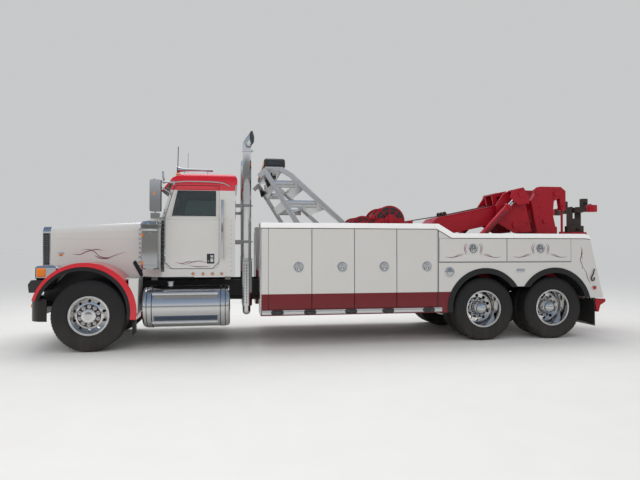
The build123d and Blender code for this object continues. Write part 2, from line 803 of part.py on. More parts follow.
with BuildPart() as light_pylon:
    for start, end in (REAR_LEG, REAR_CAP, FRONT_LEG, FRONT_CAP):
        extrude(bar(side(-PYLON_Y[0]), start, end, PYLON_BAR), amount=PYLON_Y[1] - PYLON_Y[0])
    with BuildSketch(side(-PYLON_Y[0])) as knees:
        for knee in (REAR_LEG[1], FRONT_LEG[1]):
            with Locations(knee):
                Circle(PYLON_BAR / 2)
    extrude(amount=PYLON_Y[1] - PYLON_Y[0])
    block((2600, 4300), (-1200, -900), (1800, RAIL_TOP), mode=Mode.SUBTRACT)
    mirror(about=Plane.XZ)
    for leg in (REAR_LEG, FRONT_LEG):
        for low, high in TIE_HEIGHTS:
            extrude(bar(side(PYLON_Y[0]), along(leg, low), along(leg, high), 16), amount=2 * PYLON_Y[0])
    block((2600, 3200), (-1200, 1200), (2930, 3100), mode=Mode.SUBTRACT)
    block((2740, 3040), (-PYLON_Y[1], PYLON_Y[1]), (2900, 2930))
keep(light_pylon, "light_pylon")

with BuildPart() as light_bar:
    block((2725, 3070), (-1080, 1080), (2930, 3075))
    chamfer(light_bar.edges().group_by(Axis.Z)[-1], 25)
keep(light_bar, "light_bar")

# Recovery frame: deck, boom base plates, open rear mast and tail beam, one red weldment
BASE_IN = 420
BASE_OUT = 460
BASE = (
    (4250, DECK), (4250, 1850), (4420, 2030), (4740, 2030), (4900, 2130), (5300, 2130), (5450, 1990),
    (5800, 1960), (6020, 1900), (6150, 1600), (6530, 1450), (6600, DECK),
)
MAST = (
    (8080, DECK), (8080, 1900), (7960, 2500), (8050, 2640), (8060, 2720), (8150, 2780), (8600, 2780),
    (8700, 2700), (8700, 2320), (8605, 2320), (8570, 2560), (8450, 2500), (8420, 2250), (8500, 1900),
    (8500, DECK),
)
BEAM_X = (8710, 8770)
BEAM_Z = (560, 660)
BEAM_IN = 397
with BuildPart() as recovery_frame:
    block((TOOL_FRONT, 8500), (-TOOL_INNER, TOOL_INNER), (DECK - 20, DECK))
    for y in ((-430, -350), (350, 430)):
        block((TOOL_FRONT, 8500), y, (FRAME_TOP, DECK - 20))
    for y in (-BASE_IN, BASE_OUT):
        extrude(outline(side(y), BASE), amount=BASE_OUT - BASE_IN)
    for y in (-MAST_IN, MAST_OUT):
        extrude(outline(side(y), MAST), amount=MAST_OUT - MAST_IN)
    block((8120, 8440), (-MAST_IN, MAST_IN), (DECK, 2080))
    rod((*BOOM_PIVOT[:1], -BASE_IN, BOOM_PIVOT[1]), (*BOOM_PIVOT[:1], BASE_IN, BOOM_PIVOT[1]), 50)
    for sign in (-1, 1):
        rod((LIFT_FOOT[0], sign * BASE_IN, LIFT_FOOT[1]), (LIFT_FOOT[0], sign * 600, LIFT_FOOT[1]), 30)
        rod(
            (MAST_ROD_X, sign * MAST_ROD_Y, 1420),
            (MAST_ROD_X, sign * MAST_ROD_Y, 2330),
            22,
        )
    for y in ((-MAST_OUT, -MAST_IN), (MAST_IN, MAST_OUT)):
        block((FRAME_REAR, 8520), y, (560, DECK - 20))
    for y in ((-432, -BEAM_IN), (BEAM_IN, 432)):
        block((8460, BEAM_X[1]), y, BEAM_Z)
    block(BEAM_X, (-1240, -BEAM_IN), BEAM_Z)
    block(BEAM_X, (BEAM_IN, 1240), BEAM_Z)
    for y in (-1180, 1240):
        extrude(
            outline(
                side(y),
                [(8710, 560), (8710, 660), (8915, 650), (8910, 600), (8810, 540), (8775, 420), (8740, 420)],
            ),
            amount=60,
        )
keep(recovery_frame, "recovery_frame")

# Winches: a twin drum for the boom lines and a drag drum ahead of it
with BuildPart() as winches:
    for x, z, flange, barrel, half in ((5100, 2080, 280, 215, 400), (4580, 1950, 215, 160, 400)):
        rod((x, -BASE_IN, z), (x, BASE_IN, z), 40)
        rod((x, -half, z), (x, half, z), barrel)
        for y in (-half, -10, half - 20):
            rod((x, y, z), (x, y + 20, z), flange)
keep(winches, "winches")


# Recovery boom, drawn along its own axis from the pivot
def boom_side(y):
    """Side view plane of the boom: local x runs out along the boom, local y across it."""
    lean = radians(BOOM_ANGLE)
    return Plane(
        origin=(FRONT_AXLE_X + BOOM_PIVOT[0], y, BOOM_PIVOT[1]),
        x_dir=(cos(lean), 0, sin(lean)),
        z_dir=(0, -1, 0),
    )


BOX_LOW = -37
BOX_TOP = 313
BOX_END = 1800
BOX_WALL = 20
YOKE = (
    (7215, 2400), (7375, 2630), (7455, 2665), (7682, 2717), (7795, 2557), (7960, 1900), (7600, 1865),
    (7270, 2050),
)
CHEEK = ((7415, 2540), (7455, 2665), (7682, 2717), (7795, 2557), (7800, 2430), (7560, 2400))
CHEEK_TOP = ((7465, 2650), (7458, 2682), (7682, 2734), (7698, 2705), (7680, 2699))
CHEEK_REAR = ((7691, 2718), (7804, 2559), (7779, 2544), (7665, 2705))
CHEEK_Y = (585, 605)
HORN = ((1500, 300), (1500, 522), (1812, 528), (1812, 300))
HORN_WINDOW = ((1590, 335), (1590, 465), (1745, 470), (1690, 335))
HORN_TOP = ((1485, 517), (1485, 537), (1812, 545), (1812, 525))
HORN_Y = (120, 160)
with BuildPart() as boom_outer:
    extrude(
        outline(
            boom_side(BOOM_HALF),
            [(-100, -60), (-100, 90), (205, 290), (240, BOX_TOP), (BOX_END, BOX_TOP), (BOX_END, BOX_LOW),
             (410, BOX_LOW), (80, -100), (0, -110)],
        ),
        amount=2 * BOOM_HALF,
    )
    extrude(
        outline(
            boom_side(BOOM_HALF - BOX_WALL),
            [(430, BOX_LOW + BOX_WALL), (430, BOX_TOP - BOX_WALL), (BOX_END, BOX_TOP - BOX_WALL),
             (BOX_END, BOX_LOW + BOX_WALL)],
        ),
        amount=2 * (BOOM_HALF - BOX_WALL),
        mode=Mode.SUBTRACT,
    )
    rod((*BOOM_PIVOT[:1], -BOOM_HALF, BOOM_PIVOT[1]), (*BOOM_PIVOT[:1], BOOM_HALF, BOOM_PIVOT[1]), 52,
        mode=Mode.SUBTRACT)
    for y in (-YOKE_IN, YOKE_OUT):
        extrude(outline(side(y), YOKE), amount=YOKE_OUT - YOKE_IN)
    for y in (-HORN_Y[0], HORN_Y[1]):
        extrude(outline(boom_side(y), HORN), amount=HORN_Y[1] - HORN_Y[0])
    extrude(outline(boom_side(HORN_Y[1]), HORN_WINDOW), amount=2 * HORN_Y[1], mode=Mode.SUBTRACT)
    extrude(outline(boom_side(HORN_Y[1]), HORN_TOP), amount=2 * HORN_Y[1])
    for y in (-CHEEK_Y[0], CHEEK_Y[1]):
        extrude(outline(side(y), CHEEK), amount=CHEEK_Y[1] - CHEEK_Y[0])
    for y in (-YOKE_OUT, CHEEK_Y[1]):
        extrude(outline(side(y), CHEEK_TOP), amount=CHEEK_Y[1] - YOKE_OUT)
        extrude(outline(side(y), CHEEK_REAR), amount=CHEEK_Y[1] - YOKE_OUT)
    for y in (-BOOM_HALF, YOKE_IN):
        extrude(
            outline(boom_side(y), [(1440, BOX_LOW), (1440, 260), (BOX_END, 260), (BOX_END, BOX_LOW)]),
            amount=YOKE_IN - BOOM_HALF,
        )
    extrude(
        outline(boom_side(YOKE_IN), [(1690, 500), (1690, 521), (1900, 529), (1900, 508)]),
        amount=2 * YOKE_IN,
    )
    for sign in (-1, 1):
        rod((LIFT_EYE[0], sign * YOKE_IN, LIFT_EYE[1]), (LIFT_EYE[0], sign * 480, LIFT_EYE[1]), 45)
keep(boom_outer, "boom_outer")

# Inner boom with its sheave head
HEAD = ((1830, 0), (1850, 430), (1950, 525), (2050, 525), (2130, 400), (2200, 130), (2130, 0))
SHEAVE = (2045, 330)
with BuildPart() as boom_inner:
    extrude(outline(boom_side(INNER_HALF), [(450, 0), (450, 270), (1990, 270), (1990, 0)]), amount=2 * INNER_HALF)
    extrude(
        outline(boom_side(INNER_HALF - 15), [(450, 15), (450, 255), (1900, 255), (1900, 15)]),
        amount=2 * (INNER_HALF - 15),
        mode=Mode.SUBTRACT,
    )
    for y in (-INNER_HALF + 40, INNER_HALF):
        extrude(outline(boom_side(y), HEAD), amount=40)
    for y, radius, width in ((130, 115, 60), (-70, 115, 60), (INNER_HALF - 10, 30, 2 * INNER_HALF - 20)):
        extrude(disc(boom_side(y), SHEAVE, radius), amount=width)
keep(boom_inner, "boom_inner")

# Lift cylinders: barrels on the base pins, rods to the yoke
LIFT_RUN = (LIFT_EYE[0] - LIFT_FOOT[0], LIFT_EYE[1] - LIFT_FOOT[1])
LIFT_LENGTH = hypot(*LIFT_RUN)


def on_lift(distance):
    """The point of a lift cylinder's line at a distance from its foot pin."""
    share = distance / LIFT_LENGTH
    return (LIFT_FOOT[0] + LIFT_RUN[0] * share, -LIFT_Y, LIFT_FOOT[1] + LIFT_RUN[1] * share)


with BuildPart() as lift_barrels:
    rod(on_lift(30), on_lift(1435), 62)
    rod(on_lift(1380), on_lift(1436), 68)
    rod(on_lift(200), on_lift(1436), 40, mode=Mode.SUBTRACT)
    rod((LIFT_FOOT[0], -590, LIFT_FOOT[1]), (LIFT_FOOT[0], -470, LIFT_FOOT[1]), 66)
    rod((LIFT_FOOT[0], -590, LIFT_FOOT[1]), (LIFT_FOOT[0], -470, LIFT_FOOT[1]), 32, mode=Mode.SUBTRACT)
    mirror(about=Plane.XZ)
keep(lift_barrels, "lift_barrels")

with BuildPart() as lift_rods:
    rod(on_lift(260), on_lift(LIFT_LENGTH - 20), 37)
    rod((LIFT_EYE[0], -575, LIFT_EYE[1]), (LIFT_EYE[0], -485, LIFT_EYE[1]), 62)
    mirror(about=Plane.XZ)
keep(lift_rods, "lift_rods")

# Underlift carriage behind the mast: face plate, cheeks for the stinger's hinge and two barrels
CHEEK_IN = 160
CHEEK_OUT = 200
with BuildPart() as underlift_carriage:
    block((8530, 8590), (-280, 280), (500, 2000))
    for y in (-CHEEK_IN, CHEEK_OUT):
        extrude(
            outline(
                side(y),
                [(8580, 500), (8580, 1150), (8700, 1150), (9080, 760), (9110, 650), (9040, 560), (8900, 500)],
            ),
            amount=CHEEK_OUT - CHEEK_IN,
        )
    for sign in (-1, 1):
        rod(
            (STINGER_X, sign * CHEEK_OUT, STINGER_Z),
            (STINGER_X, sign * 100, STINGER_Z),
            35,
        )
        rod((MAST_ROD_X, sign * MAST_ROD_Y, 880), (MAST_ROD_X, sign * MAST_ROD_Y, 1900), 45)
        rod((MAST_ROD_X, sign * MAST_ROD_Y, 960), (MAST_ROD_X, sign * MAST_ROD_Y, 1901), 26, mode=Mode.SUBTRACT)
    block((8540, 8700), (-385, -200), (840, 900))
    block((8540, 8700), (200, 385), (840, 900))
keep(underlift_carriage, "underlift_carriage")

# Stinger: outer tube, hinged at its foot, with a collar at the top
with BuildPart() as stinger_outer:
    block((8995, 9305), (-140, 140), (600, 1900))
    block((8985, 9330), (-155, 155), (1780, 1900))
    block((9035, 9265), (-100, 100), (740, 1900), mode=Mode.SUBTRACT)
    rod((STINGER_X, -140, STINGER_Z), (STINGER_X, 140, STINGER_Z), 37, mode=Mode.SUBTRACT)
keep(stinger_outer, "stinger_outer")

# Inner stinger with a fork for the crossbar's swivel
with BuildPart() as stinger_inner:
    block((9045, 9255), (-88, 88), (760, 2180))
    block((9045, 9070), (-88, 88), (2180, 2420))
    block((9230, 9255), (-88, 88), (2180, 2420))
    rod((9045, 0, CROSSBAR_Z), (9255, 0, CROSSBAR_Z), 25)
keep(stinger_inner, "stinger_inner")

# Crossbar with two fork receivers and end sockets
with BuildPart() as crossbar:
    block((9080, 9220), (-CROSSBAR_HALF, CROSSBAR_HALF), (CROSSBAR_Z - 50, CROSSBAR_Z + 50))
    for y in (-320, 320):
        block((9095, 9205), (y - 50, y + 50), (CROSSBAR_Z + 50, CROSSBAR_Z + 210))
        block((9115, 9185), (y - 30, y + 30), (CROSSBAR_Z + 90, CROSSBAR_Z + 211), mode=Mode.SUBTRACT)
    for y in (-CROSSBAR_HALF, CROSSBAR_HALF - 110):
        block((9070, 9230), (y, y + 110), (CROSSBAR_Z - 65, CROSSBAR_Z + 65))
    rod((9070, 0, CROSSBAR_Z), (9240, 0, CROSSBAR_Z), 27, mode=Mode.SUBTRACT)
keep(crossbar, "crossbar")

# Steering knuckles: yoke about the kingpin, back plate and spindle
with BuildPart() as knuckle:
    rod((0, -KINGPIN_Y, FRONT_HUB - 97), (0, -KINGPIN_Y, FRONT_HUB + 97), 22)
    for low in (FRONT_HUB - 97, FRONT_HUB + 60):
        rod((0, -KINGPIN_Y, low), (0, -KINGPIN_Y, low + 37), 46)
        block((-46, 46), (-1025, -KINGPIN_Y), (low, low + 37))
    block((-70, 70), (-1025, -1005), (FRONT_HUB - 97, FRONT_HUB + 97))
    rod((0, -1025, FRONT_HUB), (0, -1125, FRONT_HUB), 38)
keep_pair(knuckle, "knuckle")


# Wheels: smooth tyres with rounded shoulders, on turned rims
BEAD_HEIGHT = 18


def tyre(x, axle_z, centre, radius, width, bead):
    """A tyre turned about the crosswise axis, its section centred at a width."""
    plane = Plane(origin=(FRONT_AXLE_X + x, 0, axle_z), x_dir=(0, -1, 0), z_dir=(-1, 0, 0))
    with BuildSketch(plane) as section:
        with BuildLine():
            Polyline(
                (centre - 0.36 * width, bead),
                (centre - 0.36 * width, bead + BEAD_HEIGHT),
                (centre - 0.47 * width, bead + 0.2 * (radius - bead)),
                (centre - 0.5 * width, bead + 0.47 * (radius - bead)),
                (centre - 0.475 * width, bead + 0.75 * (radius - bead)),
                (centre - 0.41 * width, radius - 14),
                (centre - 0.36 * width, radius - 3),
                (centre, radius),
                (centre + 0.36 * width, radius - 3),
                (centre + 0.41 * width, radius - 14),
                (centre + 0.475 * width, bead + 0.75 * (radius - bead)),
                (centre + 0.5 * width, bead + 0.47 * (radius - bead)),
                (centre + 0.47 * width, bead + 0.2 * (radius - bead)),
                (centre + 0.36 * width, bead + BEAD_HEIGHT),
                (centre + 0.36 * width, bead),
                close=True,
            )
        make_face()
    revolve(section.sketch, axis=Axis((FRONT_AXLE_X + x, 0, axle_z), (0, 1, 0)))


def bolt_circle(x, axle_z, y, pitch_radius, count, radius, depth, mode):
    """Round holes or nuts about the crosswise axis, from width y inward."""
    plane = Plane(origin=(FRONT_AXLE_X + x, y, axle_z), x_dir=(1, 0, 0), z_dir=(0, 1, 0))
    with BuildSketch(plane) as holes:
        with PolarLocations(pitch_radius, count, start_angle=18):
            Circle(radius)
    extrude(holes.sketch, amount=depth, mode=mode)


FRONT_BEAD = 294
with BuildPart() as front_tyre:
    tyre(0, FRONT_HUB, FRONT_WHEEL_Y, FRONT_R, FRONT_TYRE, FRONT_BEAD)
keep_pair(front_tyre, "front_tyre")

FRONT_RIM = (
    (868, 310), (878, 310), (878, 293.5), (1182, 293.5), (1182, 310), (1194, 310), (1194, 282),
    (1110, 278), (1118, 266), (1156, 205), (1170, 165), (1170, 115), (1205, 110), (1212, 95), (1216, 0),
    (1135, 0), (1135, 44), (1040, 44), (1040, 110), (1142, 115), (1144, 190), (1098, 260), (1080, 280),
    (868, 280),
)
with BuildPart() as front_rim:
    turned(0, FRONT_HUB, FRONT_RIM)
    bolt_circle(0, FRONT_HUB, -1192, 230, 10, 24, 140, Mode.SUBTRACT)
keep_pair(front_rim, "front_rim")

REAR_BEAD = 311
REAR_RIM = (
    (634, 324), (643, 324), (643, 310), (1186, 310), (1186, 324), (1196, 324), (1196, 297), (990, 295),
    (945, 270), (931, 255), (931, 175), (945, 130), (1000, 125), (1080, 110), (1105, 75), (1110, 0),
    (870, 0), (870, 46), (690, 46), (690, 150), (899, 175), (899, 255), (885, 270), (840, 297), (634, 297),
)
for name, station in zip(("mid", "rear"), REAR_AXLES):
    with BuildPart() as twin_tyres:
        for centre in TWIN_Y:
            tyre(station, REAR_HUB, centre, REAR_R, REAR_TYRE, REAR_BEAD)
    keep_pair(twin_tyres, f"{name}_tyres")
    with BuildPart() as twin_rims:
        turned(station, REAR_HUB, REAR_RIM)
        bolt_circle(station, REAR_HUB, -950, 215, 10, 30, 60, Mode.SUBTRACT)
    keep_pair(twin_rims, f"{name}_rims")
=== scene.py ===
from contextlib import contextmanager
from math import cos, pi, radians, sin

import bmesh
import bpy
from mathutils import Matrix, Vector
from mathutils.geometry import interpolate_bezier


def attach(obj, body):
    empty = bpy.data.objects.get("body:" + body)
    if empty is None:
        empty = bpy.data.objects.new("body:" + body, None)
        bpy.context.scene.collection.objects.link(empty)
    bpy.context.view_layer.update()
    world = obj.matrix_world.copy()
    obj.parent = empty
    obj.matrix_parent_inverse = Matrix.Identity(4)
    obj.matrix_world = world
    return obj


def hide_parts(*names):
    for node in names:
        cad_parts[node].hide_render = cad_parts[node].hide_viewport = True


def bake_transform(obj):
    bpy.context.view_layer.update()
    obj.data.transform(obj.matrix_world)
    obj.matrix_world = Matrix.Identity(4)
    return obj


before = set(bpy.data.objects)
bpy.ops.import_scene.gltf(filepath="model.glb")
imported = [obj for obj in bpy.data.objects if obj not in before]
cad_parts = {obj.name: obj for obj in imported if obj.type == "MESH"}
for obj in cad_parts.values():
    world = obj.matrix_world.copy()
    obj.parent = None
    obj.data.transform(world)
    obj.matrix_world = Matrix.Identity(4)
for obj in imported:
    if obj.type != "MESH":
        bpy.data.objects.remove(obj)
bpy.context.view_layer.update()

bl_info = {
    "name": "Heavy tow truck dressing",
    "version": (1, 0, 0),
    "blender": (4, 5, 0),
    "location": "View3D > Sidebar > Truck",
    "description": "Paint, trim, tyres, lamps and rigging of a heavy tow truck, fitted on its CAD frame",
    "category": "Object",
}

# Lengths are metres. A station is measured rearward from the front axle, a width out of the truck's
# middle, and a height from a datum a little above the ground. A pair of numbers is a station and a
# height, unless told otherwise, or in a profile to be spun a distance along the axis and a radius.
FRONT_AXLE = -4.175
DATUM = 0.045
FRONT_HUB = 0.5175
REAR_HUB = 0.507
REAR_STATIONS = (6.565, 7.886)
REAR_AXLES = tuple(zip(("mid", "rear"), REAR_STATIONS))
ARCH = (-0.06, 0.562)
ARCH_SKIN = (0.778, 0.788)  # inner and outer radius
ARCH_LIP = 1.2145  # half width
SIDES = (("left", -1), ("right", 1))
BODY_HALF = 1.28
SEAMS = (2.78, 3.5, 4.22, 4.955, 5.68)
UPPER_SEAMS = (5.713, 6.965, 8.205)
BOOM_PIVOT = (5.9, 1.8)
BOOM_LEAN = radians(11.8)
LIFT_FOOT = (6.42, 1.35)
LIFT_EYE = (7.64, 2.61)
REARWARD = Vector((1, 0, 0))
ACROSS = Vector((0, 1, 0))
UP = Vector((0, 0, 1))


# Sizes and colours that a user would change

class TruckPaint(bpy.types.PropertyGroup):
    """Paint colours, and where one gives way to another"""

    # The default is the white paint darkened to a warm grey: painted shade, so the sides sit darker than
    # the white rail along the top.
    body: bpy.props.FloatVectorProperty(
        name="Body", description="Cab, hood and tool body paint", subtype="COLOR", size=3,
        default=(0.585, 0.57, 0.545), min=0, max=1,
    )
    accent: bpy.props.FloatVectorProperty(
        name="Accent", description="Paint of the fenders and the roof", subtype="COLOR", size=3,
        default=(0.56, 0.006, 0.018), min=0, max=1,
    )
    # The default is the boom's red darkened to the mean of its shaded and lit tones: painted shade.
    gear: bpy.props.FloatVectorProperty(
        name="Gear", description="Paint of the boom, winches and underlift", subtype="COLOR", size=3,
        default=(0.34, 0.006, 0.016), min=0, max=1,
    )
    cap_low: bpy.props.FloatProperty(
        name="Cab cap", description="Height where the cab's accent paint begins", unit="LENGTH",
        default=2.527, min=2, max=3,
    )
    band: bpy.props.FloatVectorProperty(
        name="Band", description="Band along the foot of the tool body", subtype="COLOR", size=3,
        default=(0.145, 0.007, 0.011), min=0, max=1,
    )
    band_high: bpy.props.FloatProperty(
        name="Band top", description="Height of the band's upper edge", unit="LENGTH", default=0.822,
        min=0, max=2,
    )


class TruckTrim(bpy.types.PropertyGroup):
    """Sizes of the small fittings"""

    latch_radius: bpy.props.FloatProperty(
        name="Latch radius", description="Radius of the round door latches", unit="LENGTH", default=0.086,
        min=0.02, max=0.2,
    )
    rope_radius: bpy.props.FloatProperty(
        name="Rope radius", description="Radius of the winch ropes", unit="LENGTH", default=0.009,
        min=0.003, max=0.03,
    )
    nut_radius: bpy.props.FloatProperty(
        name="Nut radius", description="Radius of the wheel nuts", unit="LENGTH", default=0.021,
        min=0.01, max=0.04,
    )


class TruckTread(bpy.types.PropertyGroup):
    """The tread of the tyres"""

    groove: bpy.props.FloatProperty(
        name="Groove depth", description="Depth of the tyres' grooves", unit="LENGTH", default=0.012,
        min=0, max=0.03,
    )
    lugs: bpy.props.IntProperty(
        name="Lugs", description="Lugs round a drive tyre's shoulder", default=56, min=20, max=90,
    )


# Points and primitive shapes

def at(x, y, z):
    """A point from its station, width and height."""
    return Vector((FRONT_AXLE + x, y, DATUM + z))


def boom_at(along, y, up):
    """A point from its distance along the boom, its width and its height above the boom's axis."""
    x = BOOM_PIVOT[0] + along * cos(BOOM_LEAN) - up * sin(BOOM_LEAN)
    return at(x, y, BOOM_PIVOT[1] + along * sin(BOOM_LEAN) + up * cos(BOOM_LEAN))


def outward(sign):
    """The direction out of one side."""
    return Vector((0, sign, 0))


def flank(sign, near, far):
    """A box's limits across one side, from two distances out of the middle."""
    return sorted((sign * near, sign * far))


def about(middle, half):
    """A box's limits on both sides of a middle."""
    return middle - half, middle + half


def soften(bm, edges, size, segments=2):
    """Rounds edges of a shape."""
    bmesh.ops.bevel(
        bm, geom=list(edges), offset=size, offset_type="OFFSET", segments=segments, profile=0.5,
        affect="EDGES", clamp_overlap=True, material=-1,
    )


def box(bm, x, y, z, soft=0.0, segments=2):
    """A box from pairs of limits, with its edges rounded."""
    middle = at(sum(x) / 2, sum(y) / 2, sum(z) / 2)
    size = Matrix.Diagonal((x[1] - x[0], y[1] - y[0], z[1] - z[0], 1))
    made = bmesh.ops.create_cube(bm, size=1, matrix=Matrix.Translation(middle) @ size)
    if soft:
        soften(bm, {e for v in made["verts"] for e in v.link_edges}, soft, segments)


def turn_to(direction):
    """The turn that stands a shape's own Z along a direction."""
    return direction.to_track_quat("Z", "Y").to_matrix().to_4x4()


def tube(bm, start, end, radius, sides=20, end_radius=None, soft=0.0):
    """A round bar between two points, or a cone where the end has a radius of its own."""
    run = end - start
    made = bmesh.ops.create_cone(
        bm, cap_ends=True, cap_tris=False, segments=sides, radius1=radius,
        radius2=radius if end_radius is None else end_radius, depth=run.length,
        matrix=Matrix.Translation((start + end) / 2) @ turn_to(run),
    )
    if soft:
        rims = {
            e for v in made["verts"] for e in v.link_edges
            if abs((e.verts[0].co - e.verts[1].co).normalized().dot(run.normalized())) < 0.1
        }
        soften(bm, rims, soft)


def pipe(bm, path, radius, sides):
    """A bent bar: a straight tube to each run of a path."""
    for start, end in zip(path, path[1:]):
        tube(bm, start, end, radius, sides)


def dome(bm, centre, radius, scale=(1, 1, 1), rings=8, around=16):
    """A ball drawn out or flattened along the axes."""
    bmesh.ops.create_uvsphere(
        bm, u_segments=around, v_segments=rings, radius=radius,
        matrix=Matrix.Translation(centre) @ Matrix.Diagonal((*scale, 1)),
    )


def lathe(bm, centre, axis, profile, steps=32, closed=False):
    """A shape spun about an axis from pairs of distance along it and radius."""
    axis = axis.normalized()
    across = axis.orthogonal().normalized()
    section = [bm.verts.new(centre + axis * along + across * radius) for along, radius in profile]
    pairs = list(zip(section, section[1:])) + ([(section[-1], section[0])] if closed else [])
    edges = [bm.edges.new(pair) for pair in pairs]
    bmesh.ops.spin(
        bm, geom=section + edges, cent=centre, axis=axis, dvec=(0, 0, 0), angle=2 * pi, steps=steps,
        use_merge=True, use_normal_flip=False, use_duplicate=False,
    )
    bmesh.ops.remove_doubles(bm, verts=bm.verts, dist=1e-5)


def plate(bm, points, depth, soft=0.0, segments=2):
    """A flat face through points, drawn out by a vector."""
    face = bm.faces.new([bm.verts.new(p) for p in points])
    made = bmesh.ops.extrude_face_region(bm, geom=[face])
    moved = [g for g in made["geom"] if isinstance(g, bmesh.types.BMVert)]
    bmesh.ops.translate(bm, verts=moved, vec=depth)
    if soft:
        edges = {e for v in list(face.verts) + moved for e in v.link_edges}
        soften(bm, edges, soft, segments)


def ring(bm, points, width, depth):
    """A flat frame inside an outline, drawn out by a vector."""
    face = bm.faces.new([bm.verts.new(p) for p in points])
    rim = bmesh.ops.inset_region(
        bm, faces=[face], thickness=width, use_boundary=True, use_even_offset=True)["faces"]
    bmesh.ops.delete(bm, geom=[face], context="FACES_ONLY")
    made = bmesh.ops.extrude_face_region(bm, geom=rim)
    moved = [g for g in made["geom"] if isinstance(g, bmesh.types.BMVert)]
    bmesh.ops.translate(bm, verts=moved, vec=depth)


def flow(points, steps=7):
    """A smooth path through points."""
    ends = [points[0], *points, points[-1]]
    path = []
    for before, a, b, after in zip(ends, ends[1:], ends[2:], ends[3:]):
        path += interpolate_bezier(a, a + (b - before) / 6, b - (after - a) / 6, b, steps)[:-1]
    return path + [points[-1]]


def strip(bm, path, across, thick, pointed=False):
    """A ribbon of flat faces along a path, from its width and its thickness as vectors."""
    last = len(path) - 1
    shares = [0.15 + 0.85 * sin(pi * i / last) if pointed else 1.0 for i in range(len(path))]
    rows = [
        [bm.verts.new(p - across * share / 2), bm.verts.new(p + across * share / 2)]
        for p, share in zip(path, shares)
    ]
    faces = [bm.faces.new((a[0], a[1], b[1], b[0])) for a, b in zip(rows, rows[1:])]
    made = bmesh.ops.extrude_face_region(bm, geom=faces)
    moved = [g for g in made["geom"] if isinstance(g, bmesh.types.BMVert)]
    bmesh.ops.translate(bm, verts=moved, vec=thick)


def bolts(bm, places, out, radius, depth, sides=6):
    """Bolt heads that stand out from places."""
    for place in places:
        tube(bm, place - out * depth * 0.3, place + out * depth, radius, sides, radius * 0.9)


def studs(bm, places, radius, flat=(1, 1, 1)):
    """Small round heads."""
    for place in places:
        dome(bm, place, radius, flat, 6, 10)


def row(start, end, count):
    """Evenly spaced points between two places, ends included."""
    return [start.lerp(end, i / (count - 1)) for i in range(count)]


def arc(centre, radius, start, end, steps):
    """Points of an arc in the side view, from station, height and degrees."""
    angles = [radians(start + (end - start) * i / steps) for i in range(steps + 1)]
    return [(centre[0] + radius * cos(a), centre[1] + radius * sin(a)) for a in angles]


# Which slot of the part each finish belongs to, unless a piece says otherwise; nothing in this script reads
# the table
SLOTS = {
    "tyre": "tyre", "rubber": "rubber", "vinyl": "vinyl", "chassis": "chassis_paint",
    **dict.fromkeys(("chrome", "mirror"), "chrome"),
    **dict.fromkeys(("polished", "bright", "deck"), "polished"),
    **dict.fromkeys(("body", "rail", "white"), "white_paint"),
    **dict.fromkeys(("stripe", "gear"), "red_paint"),
    **dict.fromkeys(("dark", "plastic"), "black_plastic"),
    **dict.fromkeys(("worn", "rope", "drum"), "worn_steel"),
    **dict.fromkeys(("amber", "lens", "smoked", "red_lens"), "glass"),
}
SHARP_ANGLE = radians(34)
M = {}  # every finish by its name


@contextmanager
def piece(name, look, body="truck", slot=None, stands_for=()):
    """A new mesh piece, shaped inside the with block. Its body is None where it crosses a joint."""
    bm = bmesh.new()
    yield bm
    bmesh.ops.recalc_face_normals(bm, faces=bm.faces)
    mesh = bpy.data.meshes.new(name)
    bm.to_mesh(mesh)
    bm.free()
    mesh.polygons.foreach_set("use_smooth", [True] * len(mesh.polygons))
    mesh.set_sharp_from_angle(angle=SHARP_ANGLE)
    mesh.materials.append(M[look])
    obj = bpy.data.objects.new(name, mesh)
    bpy.context.collection.objects.link(obj)
    if body:
        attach(obj, body)
    if stands_for:
        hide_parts(*stands_for)


# Materials

def new_group(name, inputs, outputs):
    """An empty shader group with its sockets."""
    group = bpy.data.node_groups.new(name, "ShaderNodeTree")
    for label, kind, value in inputs:
        socket = group.interface.new_socket(name=label, in_out="INPUT", socket_type=kind)
        socket.default_value = value
    for label, kind in outputs:
        group.interface.new_socket(name=label, in_out="OUTPUT", socket_type=kind)
    return group, group.nodes.new("NodeGroupInput"), group.nodes.new("NodeGroupOutput")


def number(tree, operation, a, b=None, clamp=False):
    """A Math node fed by sockets or plain numbers."""
    node = tree.nodes.new("ShaderNodeMath")
    node.operation = operation
    node.use_clamp = clamp
    for socket, value in zip(node.inputs, (a, b)):
        if isinstance(value, bpy.types.NodeSocket):
            tree.links.new(value, socket)
        elif value is not None:
            socket.default_value = value
    return node.outputs[0]


def tint(tree, share, a, b, blend="MIX"):
    """A colour mix fed by sockets or plain colours."""
    node = tree.nodes.new("ShaderNodeMix")
    node.data_type = "RGBA"
    node.blend_type = blend
    for socket, value in ((node.inputs[0], share), (node.inputs[6], a), (node.inputs[7], b)):
        if isinstance(value, bpy.types.NodeSocket):
            tree.links.new(value, socket)
        elif isinstance(value, (int, float)):
            socket.default_value = value
        else:
            socket.default_value = (*value[:3], 1)
    return node.outputs[2]


def object_noise(tree, scale, detail=3, stretch=(1, 1, 1)):
    """Noise over the object's own coordinates."""
    place = tree.nodes.new("ShaderNodeTexCoord")
    mapping = tree.nodes.new("ShaderNodeMapping")
    mapping.inputs["Scale"].default_value = stretch
    tree.links.new(place.outputs["Object"], mapping.inputs["Vector"])
    noise = tree.nodes.new("ShaderNodeTexNoise")
    noise.inputs["Detail"].default_value = detail
    tree.links.new(mapping.outputs["Vector"], noise.inputs["Vector"])
    if isinstance(scale, bpy.types.NodeSocket):
        tree.links.new(scale, noise.inputs["Scale"])
    else:
        noise.inputs["Scale"].default_value = scale
    return noise.outputs["Fac"]


